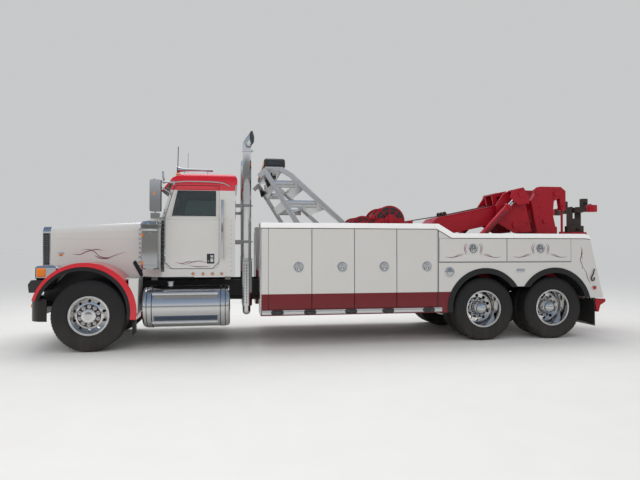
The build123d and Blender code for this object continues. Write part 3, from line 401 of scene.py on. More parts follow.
def weather_group():
    """Colour that drifts a little, with road dust that thickens towards the ground."""
    group, inp, out = new_group(
        "road_weather",
        [
            ("Colour", "NodeSocketColor", (0.5, 0.5, 0.5, 1)),
            ("Dust colour", "NodeSocketColor", (0.3, 0.25, 0.19, 1)),
            ("Roughness", "NodeSocketFloat", 0.3),
            ("Mottle", "NodeSocketFloat", 0.06),
            ("Dust", "NodeSocketFloat", 0.3),
            ("Dust top", "NodeSocketFloat", 1.2),
            ("Grain scale", "NodeSocketFloat", 60.0),
        ],
        [("Colour", "NodeSocketColor"), ("Roughness", "NodeSocketFloat"), ("Height", "NodeSocketFloat")],
    )
    place = group.nodes.new("ShaderNodeTexCoord")
    split = group.nodes.new("ShaderNodeSeparateXYZ")
    group.links.new(place.outputs["Object"], split.inputs[0])
    patches = object_noise(group, 1.7, 4)
    grain = object_noise(group, inp.outputs["Grain scale"], 5)
    streak = object_noise(group, 3.0, 5, (4, 4, 0.6))
    low = number(group, "DIVIDE", split.outputs["Z"], inp.outputs["Dust top"])
    near = number(group, "SUBTRACT", 1.0, low, clamp=True)
    thick = number(group, "POWER", near, 1.6)
    spread = number(group, "MULTIPLY", thick, number(group, "MULTIPLY", streak, 1.8))
    dust = number(group, "MULTIPLY", spread, inp.outputs["Dust"], clamp=True)
    drift = number(group, "MULTIPLY", number(group, "SUBTRACT", patches, 0.5), inp.outputs["Mottle"])
    speck = number(group, "MULTIPLY", number(group, "SUBTRACT", grain, 0.5), inp.outputs["Mottle"])
    shade = number(group, "ADD", 1.0, number(group, "ADD", drift, speck))
    grey = group.nodes.new("ShaderNodeCombineColor")
    for channel in grey.inputs[:3]:
        group.links.new(shade, channel)
    shaded = tint(group, 1.0, inp.outputs["Colour"], grey.outputs[0], "MULTIPLY")
    group.links.new(tint(group, dust, shaded, inp.outputs["Dust colour"]), out.inputs["Colour"])
    worn = number(group, "ADD", inp.outputs["Roughness"], number(group, "MULTIPLY", drift, 0.8))
    rough = number(group, "ADD", worn, number(group, "MULTIPLY", dust, 0.5), clamp=True)
    group.links.new(rough, out.inputs["Roughness"])
    group.links.new(grain, out.inputs["Height"])
    return group


def brushed_group():
    """Fine scratches drawn along one direction, for polished and brushed metal."""
    group, inp, out = new_group(
        "fine_scratches",
        [("Roughness", "NodeSocketFloat", 0.1), ("Amount", "NodeSocketFloat", 0.1)],
        [("Roughness", "NodeSocketFloat"), ("Height", "NodeSocketFloat")],
    )
    lines = object_noise(group, 40.0, 6, (1, 6, 9))
    smears = object_noise(group, 2.4, 3)
    fine = number(group, "MULTIPLY", lines, 0.6)
    both = number(group, "ADD", fine, number(group, "MULTIPLY", smears, 0.8))
    spread = number(group, "MULTIPLY", number(group, "SUBTRACT", both, 0.6), inp.outputs["Amount"])
    rough = number(group, "ADD", inp.outputs["Roughness"], spread, clamp=True)
    group.links.new(rough, out.inputs["Roughness"])
    group.links.new(lines, out.inputs["Height"])
    return group


GROUPS = {}


def finish(name, colour, roughness, metallic=0.0, coat=0.0, mottle=0.06, dust=0.25, dust_top=1.2,
           grain=60.0, bump=0.0, scratch=0.0, shine=0.5, colour_source=None):
    """A material with the shared weather group, and with scratches where it has any."""
    material = bpy.data.materials.new(name)
    material.use_nodes = True
    tree = material.node_tree
    shader = tree.nodes["Principled BSDF"]
    shader.inputs["Metallic"].default_value = metallic
    shader.inputs["Specular IOR Level"].default_value = shine
    shader.inputs["Coat Weight"].default_value = coat
    shader.inputs["Coat Roughness"].default_value = 0.04
    weather = tree.nodes.new("ShaderNodeGroup")
    weather.node_tree = GROUPS["weather"]
    weather.inputs["Colour"].default_value = (*colour, 1)
    if colour_source:
        tree.links.new(colour_source(tree), weather.inputs["Colour"])
    for label, value in (("Roughness", roughness), ("Mottle", mottle), ("Dust", dust),
                         ("Dust top", dust_top), ("Grain scale", grain)):
        weather.inputs[label].default_value = value
    tree.links.new(weather.outputs["Colour"], shader.inputs["Base Color"])
    rough, height = weather.outputs["Roughness"], weather.outputs["Height"]
    if scratch:
        lines = tree.nodes.new("ShaderNodeGroup")
        lines.node_tree = GROUPS["scratches"]
        lines.inputs["Amount"].default_value = scratch
        tree.links.new(rough, lines.inputs["Roughness"])
        rough, height = lines.outputs["Roughness"], lines.outputs["Height"]
    tree.links.new(rough, shader.inputs["Roughness"])
    if bump:
        raised = tree.nodes.new("ShaderNodeBump")
        raised.inputs["Strength"].default_value = bump
        raised.inputs["Distance"].default_value = 0.002
        tree.links.new(height, raised.inputs["Height"])
        tree.links.new(raised.outputs["Normal"], shader.inputs["Normal"])
    return material


def axes(tree, output):
    """The X, Y and Z of the object's own coordinates or normals."""
    place = tree.nodes.new("ShaderNodeTexCoord")
    split = tree.nodes.new("ShaderNodeSeparateXYZ")
    tree.links.new(place.outputs[output], split.inputs[0])
    return split.outputs["X"], split.outputs["Y"], split.outputs["Z"]


BAND_END = 7.2


def banded(paint):
    """The tool body's colour: a dark band along its foot, as far back as the wheel arch."""
    def colours(tree):
        x, _, z = axes(tree, "Object")
        below = number(tree, "LESS_THAN", z, paint.band_high + DATUM)
        ahead = number(tree, "LESS_THAN", x, FRONT_AXLE + BAND_END)
        return tint(tree, number(tree, "MULTIPLY", below, ahead), paint.body, paint.band)
    return colours


def lined(outside, lining_and_shade, upper=None, upper_from=0.0):
    """A shell's colour: paint outside, another paint high up, and a darker lining where a face looks inward
    or down, partly the inside's own lining and partly painted shade.
    """
    def colours(tree):
        _, y, z = axes(tree, "Object")
        _, aside, up = axes(tree, "Normal")
        painted = outside
        if upper:
            painted = tint(tree, number(tree, "GREATER_THAN", z, upper_from + DATUM), outside, upper)
        inward = number(tree, "LESS_THAN", number(tree, "MULTIPLY", y, aside), -0.04)
        # Faces that look down take the lining colour too: the shell's inside, and painted shade under
        # overhangs such as the visor.
        under = number(tree, "LESS_THAN", up, -0.5)
        return tint(tree, number(tree, "MAXIMUM", inward, under), painted, lining_and_shade)
    return colours


def arched(paint, lining_and_shade):
    """The fender's colour: paint on the arch's skin and its lip, black inside the arch as painted shade of
    the wheel well, and black beyond it.
    """
    def colours(tree):
        x, y, z = axes(tree, "Object")
        ahead = number(tree, "SUBTRACT", x, FRONT_AXLE + ARCH[0])
        above = number(tree, "SUBTRACT", z, ARCH[1] + DATUM)
        level = number(tree, "MULTIPLY", ahead, ahead)
        reach = number(tree, "SQRT", number(tree, "ADD", level, number(tree, "MULTIPLY", above, above)))
        # Inside the arch the black is painted shade: the fender's inner face lies in the wheel well's
        # shadow.
        inside = number(tree, "LESS_THAN", reach, ARCH_SKIN[0])
        beyond = number(tree, "GREATER_THAN", reach, ARCH_SKIN[1])
        short = number(tree, "LESS_THAN", number(tree, "ABSOLUTE", y), ARCH_LIP)
        black = number(tree, "MULTIPLY", number(tree, "MAXIMUM", inside, beyond), short)
        return tint(tree, black, paint, lining_and_shade)
    return colours


def clear(name, colour, roughness=0.02, transmission=1.0):
    """Glass or a lamp's lens."""
    material = bpy.data.materials.new(name)
    material.use_nodes = True
    tree = material.node_tree
    shader = tree.nodes["Principled BSDF"]
    shader.inputs["Transmission Weight"].default_value = transmission
    shader.inputs["IOR"].default_value = 1.45
    smears = object_noise(tree, 3.0, 4)
    shade = number(tree, "MULTIPLY", smears, 0.16)
    film = number(tree, "MULTIPLY", smears, 0.03)
    tree.links.new(tint(tree, shade, colour, [0.8 * c for c in colour]), shader.inputs["Base Color"])
    tree.links.new(number(tree, "ADD", roughness, film), shader.inputs["Roughness"])
    return material


def make_materials(paint):
    """Every finish of the truck."""
    GROUPS["weather"] = weather_group()
    GROUPS["scratches"] = brushed_group()
    black = (0.012, 0.012, 0.013)
    # Dark lining of the cab and roof: their inside, and painted shade on their undersides.
    trim = (0.13, 0.12, 0.115)
    M["body"] = finish("body_paint", paint.body, 0.26, coat=0.6, mottle=0.04, dust=0.22, dust_top=1.3)
    # Black on the hood's inward and downward faces: painted shade of the engine bay, seen through the wheel
    # wells.
    M["hood"] = finish("hood_paint", paint.body, 0.22, coat=0.8, mottle=0.04, dust=0.2, dust_top=1.3,
                       colour_source=lined(paint.body, black))
    M["cab"] = finish("cab_paint", paint.body, 0.24, coat=0.7, mottle=0.04, dust=0.2, dust_top=1.5,
                      colour_source=lined(paint.body, trim, paint.accent, paint.cap_low))
    M["banded"] = finish("banded_body_paint", paint.body, 0.28, coat=0.2, mottle=0.04, dust=0.12,
                         dust_top=0.9, shine=0.3, colour_source=banded(paint))
    # Full white: the same paint as the body, whose colour is darkened as painted shade.
    M["rail"] = finish("rail_paint", (0.9, 0.89, 0.87), 0.28, coat=0.6, mottle=0.03, dust=0.04)
    M["roof"] = finish("roof_paint", paint.accent, 0.22, coat=0.4, mottle=0.06, dust=0.0, shine=0.35,
                       colour_source=lined(paint.accent, trim))
    M["accent"] = finish("accent_paint", paint.accent, 0.24, coat=0.6, mottle=0.08, dust=0.12,
                         dust_top=1.1, shine=0.35, colour_source=arched(paint.accent, black))
    M["gear"] = finish("gear_paint", paint.gear, 0.38, coat=0.12, mottle=0.35, dust=0.04, grain=18.0,
                       bump=0.1, shine=0.25)
    M["stripe"] = finish("pinstripe", (0.17, 0.035, 0.06), 0.35, mottle=0.15, dust=0.05)
    M["chrome"] = finish("chrome", (0.55, 0.56, 0.57), 0.06, metallic=1.0, mottle=0.03, dust=0.12,
                         scratch=0.05)
    M["polished"] = finish("polished_aluminium", (0.58, 0.585, 0.59), 0.13, metallic=1.0, mottle=0.03,
                           dust=0.12, scratch=0.06, bump=0.02)
    M["rim"] = finish("rim_aluminium", (0.66, 0.65, 0.64), 0.11, metallic=1.0, mottle=0.03, dust=0.1,
                      dust_top=0.8, scratch=0.03)
    M["bright"] = finish("bright_sheet", (0.56, 0.56, 0.56), 0.2, metallic=1.0, mottle=0.08, dust=0.1,
                         scratch=0.12, bump=0.04)
    M["chassis"] = finish("chassis_paint", (0.018, 0.018, 0.02), 0.5, mottle=0.35, dust=0.25,
                          dust_top=1.0, grain=25.0, bump=0.12)
    M["engine"] = finish("engine_paint", (0.04, 0.06, 0.05), 0.5, mottle=0.3, dust=0.3, grain=20.0,
                         bump=0.1)
    M["bumper"] = finish("bumper_paint", (0.009, 0.005, 0.005), 0.34, coat=0.2, mottle=0.1, dust=0.03,
                         shine=0.3)
    M["rubber"] = finish("black_rubber", (0.012, 0.012, 0.012), 0.55, mottle=0.2, dust=0.07,
                         dust_top=1.0, grain=150.0, bump=0.12, shine=0.35)
    M["tyre"] = finish("tyre_rubber", (0.012, 0.011, 0.011), 0.62, mottle=0.25, dust=0.1, dust_top=0.9,
                       grain=90.0, bump=0.12, shine=0.35)
    M["plastic"] = finish("black_plastic", (0.02, 0.02, 0.021), 0.4, mottle=0.1, dust=0.05,
                          grain=300.0, bump=0.08)
    M["vinyl"] = finish("cab_vinyl", (0.06, 0.052, 0.05), 0.55, mottle=0.12, dust=0.0, grain=220.0,
                        bump=0.3)
    M["worn"] = finish("greasy_steel", (0.045, 0.032, 0.026), 0.48, metallic=0.4, mottle=0.8, dust=0.1,
                       grain=14.0, bump=0.35)
    M["rope"] = finish("wire_rope", (0.05, 0.044, 0.04), 0.45, metallic=0.7, mottle=0.4, dust=0.0,
                       grain=260.0, bump=0.5)
    M["drum"] = finish("wound_rope", (0.075, 0.045, 0.038), 0.55, metallic=0.4, mottle=0.6, dust=0.0,
                       grain=120.0, bump=0.4)
    M["deck"] = finish("deck_plate", (0.26, 0.26, 0.27), 0.42, metallic=0.9, mottle=0.2, dust=0.1,
                       scratch=0.2, bump=0.1)
    M["dark"] = finish("lamp_black", black, 0.35, mottle=0.1, dust=0.05)
    M["white"] = finish("plate_white", (0.78, 0.78, 0.76), 0.4, mottle=0.05, dust=0.1)
    M["glass"] = clear("cab_glass_tint", (0.17, 0.24, 0.23))
    M["smoked"] = clear("smoked_lens", (0.035, 0.038, 0.042), 0.1, 0.25)
    M["lens"] = clear("clear_lens", (0.92, 0.93, 0.95), 0.05)
    M["amber"] = clear("amber_lens", (0.95, 0.26, 0.02), 0.12, 0.25)
    M["red_lens"] = clear("red_lens", (0.62, 0.01, 0.015), 0.12, 0.25)
    M["mirror"] = finish("mirror_glass", (0.8, 0.83, 0.85), 0.02, metallic=1.0, mottle=0.02, dust=0.0)


# The CAD pieces that wear each finish
NODE_FINISHES = {
    "chassis": ("frame_rails", "axles", "knuckle_left", "knuckle_right"),
    "engine": ("engine",),
    "bumper": ("front_bumper",),
    "cab": ("cab_shell", "cab_door_left", "cab_door_right"),
    "hood": ("hood",),
    "roof": ("cab_roof",),
    "accent": ("fenders",),
    "glass": ("cab_glass", "door_glass_left", "door_glass_right"),
    "vinyl": ("cab_interior",),
    "chrome": ("air_cleaners", "exhaust_stacks", "mirrors", "grille_and_lamps", "lift_rods"),
    "polished": ("fuel_tanks",),
    "bright": ("light_pylon",),
    "rim": ("front_rim_left", "front_rim_right", "mid_rims_left", "mid_rims_right", "rear_rims_left",
            "rear_rims_right"),
    "rubber": ("mudguards",),
    "plastic": ("light_bar",),
    "gear": ("recovery_frame", "winches", "boom_outer", "boom_inner", "lift_barrels", "underlift_carriage",
             "stinger_outer"),
    "worn": ("stinger_inner", "crossbar"),
}


class TRUCK_OT_paint(bpy.types.Operator):
    """Makes the finishes and puts them on the CAD pieces"""

    bl_idname = "truck.paint"
    bl_label = "Paint the frame"

    def execute(self, context):
        make_materials(context.scene.truck_paint)
        rows = dict(NODE_FINISHES)
        rows["banded"] = [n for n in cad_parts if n.startswith("tool_")]
        for key, names in rows.items():
            for name in names:
                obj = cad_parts[name]
                if not obj.material_slots:
                    obj.data.materials.append(M[key])
                for material_slot in obj.material_slots:
                    material_slot.material = M[key]
        return {"FINISHED"}


# Tyres and wheels

FRONT_TRACK = 1.03  # width of the tyre's middle
TWIN_TRACKS = (1.085, 0.745)
FRONT_TYRE = (0.5625, 0.42, 0.294)  # outer radius, width and bead radius
REAR_TYRE = (0.552, 0.28, 0.311)
FRONT_GROOVES = (0.33, 0.2, 0.07)  # shares of the width, out of the middle
REAR_GROOVES = (0.31, 0.11)
SHOULDER = (0.33, 0.45)
TYRE_WALL = (  # shares of the width and of the height over the bead
    (0.36, 0.0), (0.375, 0.05), (0.415, 0.09), (0.44, 0.1), (0.47, 0.2), (0.487, 0.3), (0.5, 0.46),
    (0.4975, 0.5), (0.4975, 0.54), (0.49, 0.6), (0.491, 0.64), (0.48, 0.73), (0.466, 0.82),
)


def tyre_profile(radius, width, bead, groove, grooves):
    """Half the tyre's section from the bead to the middle of the tread, as width and radius."""
    points = [(w * width, bead + h * (radius - bead)) for w, h in TYRE_WALL]
    points += [(0.43 * width, radius - 0.016), (0.41 * width, radius - 0.007)]
    half = 0.004
    for place in grooves:
        edge = place * width
        points += [(edge + half, radius - 0.004 * place), (edge + half * 0.7, radius - groove)]
        points += [(edge - half * 0.7, radius - groove), (edge - half, radius - 0.003 * place)]
    points.append((0.0, radius))
    return points


def spin_tyre(bm, x, axle, centre, radius, width, bead, tread, lugs, grooves):
    """One tyre with grooves round it and notches across its shoulders."""
    half = tyre_profile(radius, width, bead, tread.groove, grooves)
    profile = [(centre - w, r) for w, r in half] + [(centre + w, r) for w, r in reversed(half[:-1])]
    before = set(bm.faces)
    middle = at(x, 0, axle)
    lathe(bm, middle, ACROSS, profile, steps=lugs * 3, closed=True)
    bmesh.ops.recalc_face_normals(bm, faces=bm.faces)
    step = 2 * pi / (lugs * 3)
    notches = []
    for face in [f for f in bm.faces if f not in before]:
        spot = face.calc_center_median() - middle
        reach = abs(spot.y - centre) / width
        spoke = Vector((spot.x, spot.z))
        turn = round((spoke.angle_signed(Vector((1, 0))) % (2 * pi)) / step - 0.5)
        if SHOULDER[0] < reach < SHOULDER[1] and spoke.length > radius - 0.03 and turn % 3 == 0:
            notches.append(face)
    bmesh.ops.inset_region(bm, faces=notches, thickness=0.0015, depth=-tread.groove * 0.9,
                           use_even_offset=True, use_boundary=True)


class TRUCK_OT_tyres(bpy.types.Operator):
    """Treaded tyres that stand for the smooth ones"""

    bl_idname = "truck.tyres"
    bl_label = "Tyres"

    def execute(self, context):
        tread = context.scene.truck_tread
        for side, sign in SIDES:
            with piece(f"steer_tyre_{side}", "tyre", f"front_wheel_{side}",
                       stands_for=[f"front_tyre_{side}"]) as bm:
                spin_tyre(bm, 0, FRONT_HUB, sign * FRONT_TRACK, *FRONT_TYRE, tread, tread.lugs + 8,
                          FRONT_GROOVES)
            for wheel, x in REAR_AXLES:
                with piece(f"drive_tyres_{wheel}_{side}", "tyre", f"{wheel}_wheel_{side}",
                           stands_for=[f"{wheel}_tyres_{side}"]) as bm:
                    for y in TWIN_TRACKS:
                        spin_tyre(bm, x, REAR_HUB, sign * y, *REAR_TYRE, tread, tread.lugs, REAR_GROOVES)
        return {"FINISHED"}


NUT_COUNT = 10
FRONT_HUB_CAP = ((0.0, 0.112), (0.034, 0.11), (0.04, 0.104), (0.046, 0.06), (0.049, 0.0))
REAR_HUB_CAP = ((0.0, 0.128), (0.03, 0.128), (0.036, 0.122), (0.075, 0.118), (0.085, 0.104), (0.15, 0.1),
                (0.185, 0.092), (0.205, 0.068), (0.215, 0.035), (0.218, 0.0))
FRONT_BEAD = ((0, 0.304), (0.005, 0.309), (0.009, 0.306), (0.009, 0.296), (0.003, 0.291), (-0.004, 0.294))
REAR_BEAD = ((0, 0.318), (0.006, 0.323), (0.01, 0.32), (0.01, 0.308), (0.002, 0.303))
# Dark rings under the wheel nuts, as painted shade: distance out and radius
FRONT_NUT_SHADE = ((0.0, 0.11), (0.004, 0.112), (0.004, 0.176), (0.0, 0.18))
REAR_NUT_SHADE = ((0.0, 0.12), (0.005, 0.122), (0.005, 0.184), (0.0, 0.188))


def nuts(bm, x, y, z, sign, pitch, radius, depth):
    """Round-topped wheel nuts on a circle, standing out from width y."""
    out = outward(sign)
    for i in range(NUT_COUNT):
        turn = 2 * pi * i / NUT_COUNT + 0.3
        foot = at(x + pitch * cos(turn), y, z + pitch * sin(turn))
        tip = foot + out * depth
        tube(bm, foot, foot + out * depth * 0.25, radius * 1.35, 16)
        tube(bm, foot, tip, radius, 6, radius * 0.92)
        dome(bm, tip, radius * 0.9, (1, 0.7, 1), 6, 12)


class TRUCK_OT_wheels(bpy.types.Operator):
    """Wheel nuts, hub caps, rim beads and valve stems"""

    bl_idname = "truck.wheels"
    bl_label = "Wheel trim"

    def execute(self, context):
        nut = context.scene.truck_trim.nut_radius
        for side, sign in SIDES:
            out = outward(sign)
            with piece(f"steer_wheel_trim_{side}", "chrome", f"front_wheel_{side}") as bm:
                nuts(bm, 0, sign * 1.17, FRONT_HUB, sign, 0.143, nut, 0.03)
                lathe(bm, at(0, sign * 1.168, FRONT_HUB), out, FRONT_HUB_CAP, 40)
                lathe(bm, at(0, sign * 1.19, FRONT_HUB), out, FRONT_BEAD, 72, closed=True)
                tube(bm, at(0.2, sign * 1.13, FRONT_HUB), at(0.225, sign * 1.175, FRONT_HUB), 0.006, 10)
            for wheel, x in REAR_AXLES:
                with piece(f"drive_wheel_trim_{wheel}_{side}", "chrome", f"{wheel}_wheel_{side}") as bm:
                    nuts(bm, x, sign * 0.938, REAR_HUB, sign, 0.153, nut, 0.04)
                    lathe(bm, at(x, sign * 0.94, REAR_HUB), out, REAR_HUB_CAP, 40)
                    lathe(bm, at(x, sign * 1.192, REAR_HUB), out, REAR_BEAD, 72, closed=True)
            # A dark ring under each wheel's nuts, in greasy steel: painted shade in the gaps between the
            # nuts.
            with piece(f"steer_wheel_nut_shade_{side}", "worn", f"front_wheel_{side}", slot="polished") as bm:
                lathe(bm, at(0, sign * 1.168, FRONT_HUB), out, FRONT_NUT_SHADE, 48)
            for wheel, x in REAR_AXLES:
                with piece(f"drive_wheel_nut_shade_{wheel}_{side}", "worn", f"{wheel}_wheel_{side}",
                           slot="polished") as bm:
                    lathe(bm, at(x, sign * 0.936, REAR_HUB), out, REAR_NUT_SHADE, 48)
        return {"FINISHED"}


# Hood, fenders, lamps and bumper

HOOD_NOSE = (-0.785, 0.487)  # station and half width
HOOD_TAPER = 0.1703  # half width gained to a metre


def hood_y(x):
    """Half width of the hood's side at a station."""
    return HOOD_NOSE[1] + (x - HOOD_NOSE[0]) * HOOD_TAPER


def hood_at(x, z, sign, out=0.0):
    """A point on the hood's side, or a little outside it."""
    return at(x, sign * (hood_y(x) + out), z)


HEADLAMPS = (0.875, 1.01)  # widths
HOOD_STRIPES = (
    ((-0.42, 1.477), (-0.3, 1.468), (-0.18, 1.52), (-0.02, 1.553), (0.08, 1.53)),
    ((-0.27, 1.537), (-0.16, 1.553), (-0.05, 1.505), (0.02, 1.44), (0.15, 1.412), (0.3, 1.462),
     (0.45, 1.512)),
    ((-0.06, 1.448), (0.05, 1.403), (0.2, 1.398)),
)


class TRUCK_OT_front(bpy.types.Operator):
    """Hood trim, fender flares, headlamps, grille and bumper trim"""

    bl_idname = "truck.front"
    bl_label = "Front end"

    def execute(self, context):
        for side, sign in SIDES:
            self.hood(side, sign)
            self.fender(side, sign)
            self.lamps(side, sign)
        self.grille()
        self.bumper()
        return {"FINISHED"}

    def lamps(self, side, sign):
        """One side's headlamps with their lenses and side lamp."""
        with piece(f"headlamp_bezels_{side}", "chrome", "hood") as bm:
            for y in HEADLAMPS:
                corners = [at(-0.806, sign * (y + dy), 1.187 + dz) for dy, dz in (
                    (-0.062, -0.088), (0.062, -0.088), (0.062, 0.088), (-0.062, 0.088))]
                ring(bm, corners, 0.012, Vector((-0.014, 0, 0)))
            tube(bm, at(-0.7, sign * 1.045, 1.3), at(-0.56, sign * 1.045, 1.3), 0.01, 10)
        with piece(f"headlamps_{side}", "mirror", "hood") as bm:
            for y in HEADLAMPS:
                box(bm, (-0.812, -0.8), flank(sign, y - 0.05, y + 0.05), (1.111, 1.263), 0.004)
        with piece(f"headlamp_lenses_{side}", "lens", "hood") as bm:
            for y in HEADLAMPS:
                box(bm, (-0.822, -0.813), flank(sign, y - 0.049, y + 0.049), (1.112, 1.262), 0.004)
        with piece(f"side_lamp_{side}", "amber", "hood") as bm:
            box(bm, (-0.8, -0.665), flank(sign, 1.07, 1.1), (1.12, 1.262), 0.014, 3)

    def hood(self, side, sign):
        """One side of the hood, with its half of the grille screen."""
        out = Vector((-0.168, sign * 0.986, 0))
        with piece(f"hood_stripes_{side}", "stripe", "hood") as bm:
            for stripe in HOOD_STRIPES:
                path = flow([hood_at(x, z, sign, -0.001) for x, z in stripe])
                strip(bm, path, UP * 0.016, out * 0.003, pointed=True)
        with piece(f"hood_trim_{side}", "chrome", "hood") as bm:
            rear = row(hood_at(0.682, 1.882, sign), hood_at(0.682, 1.272, sign), 9)
            studs(bm, rear, 0.02, (1, 0.6, 1))
            nose = row(at(-0.795, sign * 0.487, 1.86), at(-0.795, sign * 0.487, 0.95), 18)
            studs(bm, nose, 0.008)
            box(bm, (-0.655, -0.565), flank(sign, 0.5, 0.535), (1.475, 1.505), 0.008)
            box(bm, (0.6, 0.74), flank(sign, 1.05, 1.245), (1.094, 1.11), 0.004)
        with piece(f"hood_rivets_{side}", "polished", "hood", slot="chrome") as bm:
            seam = row(hood_at(-0.7, 1.729, sign), hood_at(0.64, 1.727, sign), 34)
            studs(bm, seam, 0.0055, (1, 0.6, 1))
        with piece(f"grille_screen_{side}", "dark", "hood") as bm:
            box(bm, (-0.893, -0.798), flank(sign, 0.486, 0.489), (1.02, 1.82))
        with piece(f"grille_screen_dots_{side}", "chrome", "hood") as bm:
            for i in range(24):
                for x in (-0.88, -0.855, -0.83, -0.805):
                    dot = at(x + 0.006 * (i % 2), sign * 0.489, 1.045 + 0.032 * i)
                    dome(bm, dot, 0.0055, (1, 0.4, 1), 4, 8)
        with piece(f"hood_lamp_{side}", "amber", "hood") as bm:
            box(bm, (-0.64, -0.58), flank(sign, 0.505, 0.531), (1.445, 1.474), 0.008)
        with piece(f"hood_strap_{side}", "rubber", "hood") as bm:
            strap = flow([at(x, sign * y, z) for x, y, z in (
                (0.6, 0.735, 1.345), (0.64, 0.752, 1.28), (0.69, 0.765, 1.19),
                (0.735, 0.775, 1.11))])
            strip(bm, strap, Vector((0.055, 0, 0.025)), outward(sign) * 0.014)
            dome(bm, strap[2], 0.034, (0.8, 0.6, 1.2))
            dome(bm, strap[-3], 0.03, (0.8, 0.6, 1.2))

    def fender(self, side, sign):
        """One fender's flare, seal, inner wall, apron and flap."""
        with piece(f"fender_flare_{side}", "rubber", "hood") as bm:
            outer = arc((-0.083, 0.568), 0.722, 163, -9, 40)
            inner = arc((-0.09, 0.56), 0.662, -9, 163, 40)
            plate(bm, [at(x, sign * 1.212, z) for x, z in outer + inner], outward(sign) * 0.024, 0.004)
        with piece(f"fender_seal_{side}", "rubber", "hood") as bm:
            rim = arc(ARCH, 0.755, 150, -8, 40)
            low = arc(ARCH, 0.735, -8, 150, 40)
            plate(bm, [at(x, sign * 0.5, z) for x, z in rim + low], outward(sign) * 0.012)
        # A black liner sheet closing the wheel well behind the tyre: painted shade over the engine and the
        # hood's inside behind it.
        with piece(f"wheel_well_{side}", "dark", "hood", slot="rubber") as bm:
            wall = arc(ARCH, 0.75, 152, -2, 36) + [(0.6, 0.8), (-0.6, 0.8)]
            plate(bm, [at(x, sign * 0.494, z) for x, z in wall], outward(-sign) * 0.004)
        with piece(f"front_apron_{side}", "dark", "hood", slot="rubber") as bm:
            apron = ((-0.88, 0.7), (-0.6, 0.7), (-0.6, 0.96), (-0.72, 1.11), (-0.88, 1.11))
            plate(bm, [at(x, sign * 0.484, z) for x, z in apron], outward(sign) * 0.006)
        with piece(f"front_flap_{side}", "rubber", "hood") as bm:
            box(bm, (0.65, 0.662), flank(sign, 0.86, 1.2), (0.2, 0.62), 0.004)
            box(bm, (0.64, 0.672), flank(sign, 0.84, 1.22), (0.58, 0.7), 0.004)

    def grille(self):
        """Bars and edge tubes of the grille."""
        with piece("grille_trim", "chrome", "hood") as bm:
            for i in range(28):
                z = 0.96 + 0.034 * i
                box(bm, (-0.842, -0.836), (-0.43, 0.43), about(z, 0.0015))
            for y in (-0.445, 0.445):
                tube(bm, at(-0.906, y, 0.94), at(-0.906, y, 1.86), 0.01, 10)
            tube(bm, at(-0.906, -0.4, 1.905), at(-0.906, 0.4, 1.905), 0.01, 10)
            tube(bm, at(-0.906, -0.44, 0.93), at(-0.906, 0.44, 0.93), 0.01, 10)

    def bumper(self):
        """Bolts, tow eyes and lamps of the bumper."""
        with piece("bumper_trim", "chrome") as bm:
            heads = [at(x, sign * y, z) for sign in (-1, 1) for x, y in ((-0.978, 0.3), (-0.973, 0.45))
                     for z in (0.52, 0.7)]
            bolts(bm, heads, -REARWARD, 0.014, 0.014, 16)
        with piece("tow_eyes", "chassis") as bm:
            for y in (-0.39, 0.39):
                box(bm, (-1.01, -0.94), about(y, 0.018), (0.6, 0.68), 0.008)
        with piece("bumper_lamps", "amber") as bm:
            for sign in (-1, 1):
                box(bm, (-0.935, -0.905), flank(sign, 0.8, 0.91), (0.63, 0.69), 0.008)


# Cab

CAB_HALF = 1.02
BELT = 2.08
SIDE_LEAN = 0.035 / 0.55
DOOR_EDGE = ((1.1225, 1.345), (1.1225, 2.08), (1.277, 2.607), (1.9875, 2.607), (1.9875, 1.345),
             (1.88, 1.2375), (1.23, 1.2375))
CAB_LAMPS = (1.57, 1.73, 1.88, 2.03)  # stations
ROOF_LAMPS = (-0.8, -0.28, 0.0, 0.28, 0.8)  # widths
HORN_BELL = ((0.000, 0.062), (0.012, 0.064), (0.03, 0.05), (0.07, 0.034), (0.16, 0.024), (0.42, 0.018),
             (0.56, 0.024), (0.6, 0.024), (0.605, 0.0))
HORN_HOLLOW = ((0.1, 0.0), (0.07, 0.028), (0.03, 0.044), (0.004, 0.06))
AERIALS = (  # station, width, low and high end, radius
    (1.294, -0.78, 2.8, 3.28, 0.0065), (1.135, 0.86, 2.7, 3.54, 0.0035),
    (1.34, 0.7, 2.81, 3.43, 0.003),
)
DOOR_STRIPES = (
    ((1.28, 1.343), (1.4, 1.325), (1.5, 1.352), (1.6, 1.335)),
    ((1.36, 1.318), (1.46, 1.312), (1.58, 1.352), (1.68, 1.362), (1.75, 1.345), (1.86, 1.34)),
    ((1.5, 1.29), (1.66, 1.268), (1.84, 1.275)),
)


def cab_y(z):
    """Half width of the cab's side at a height."""
    return CAB_HALF - SIDE_LEAN * max(z - BELT, 0)


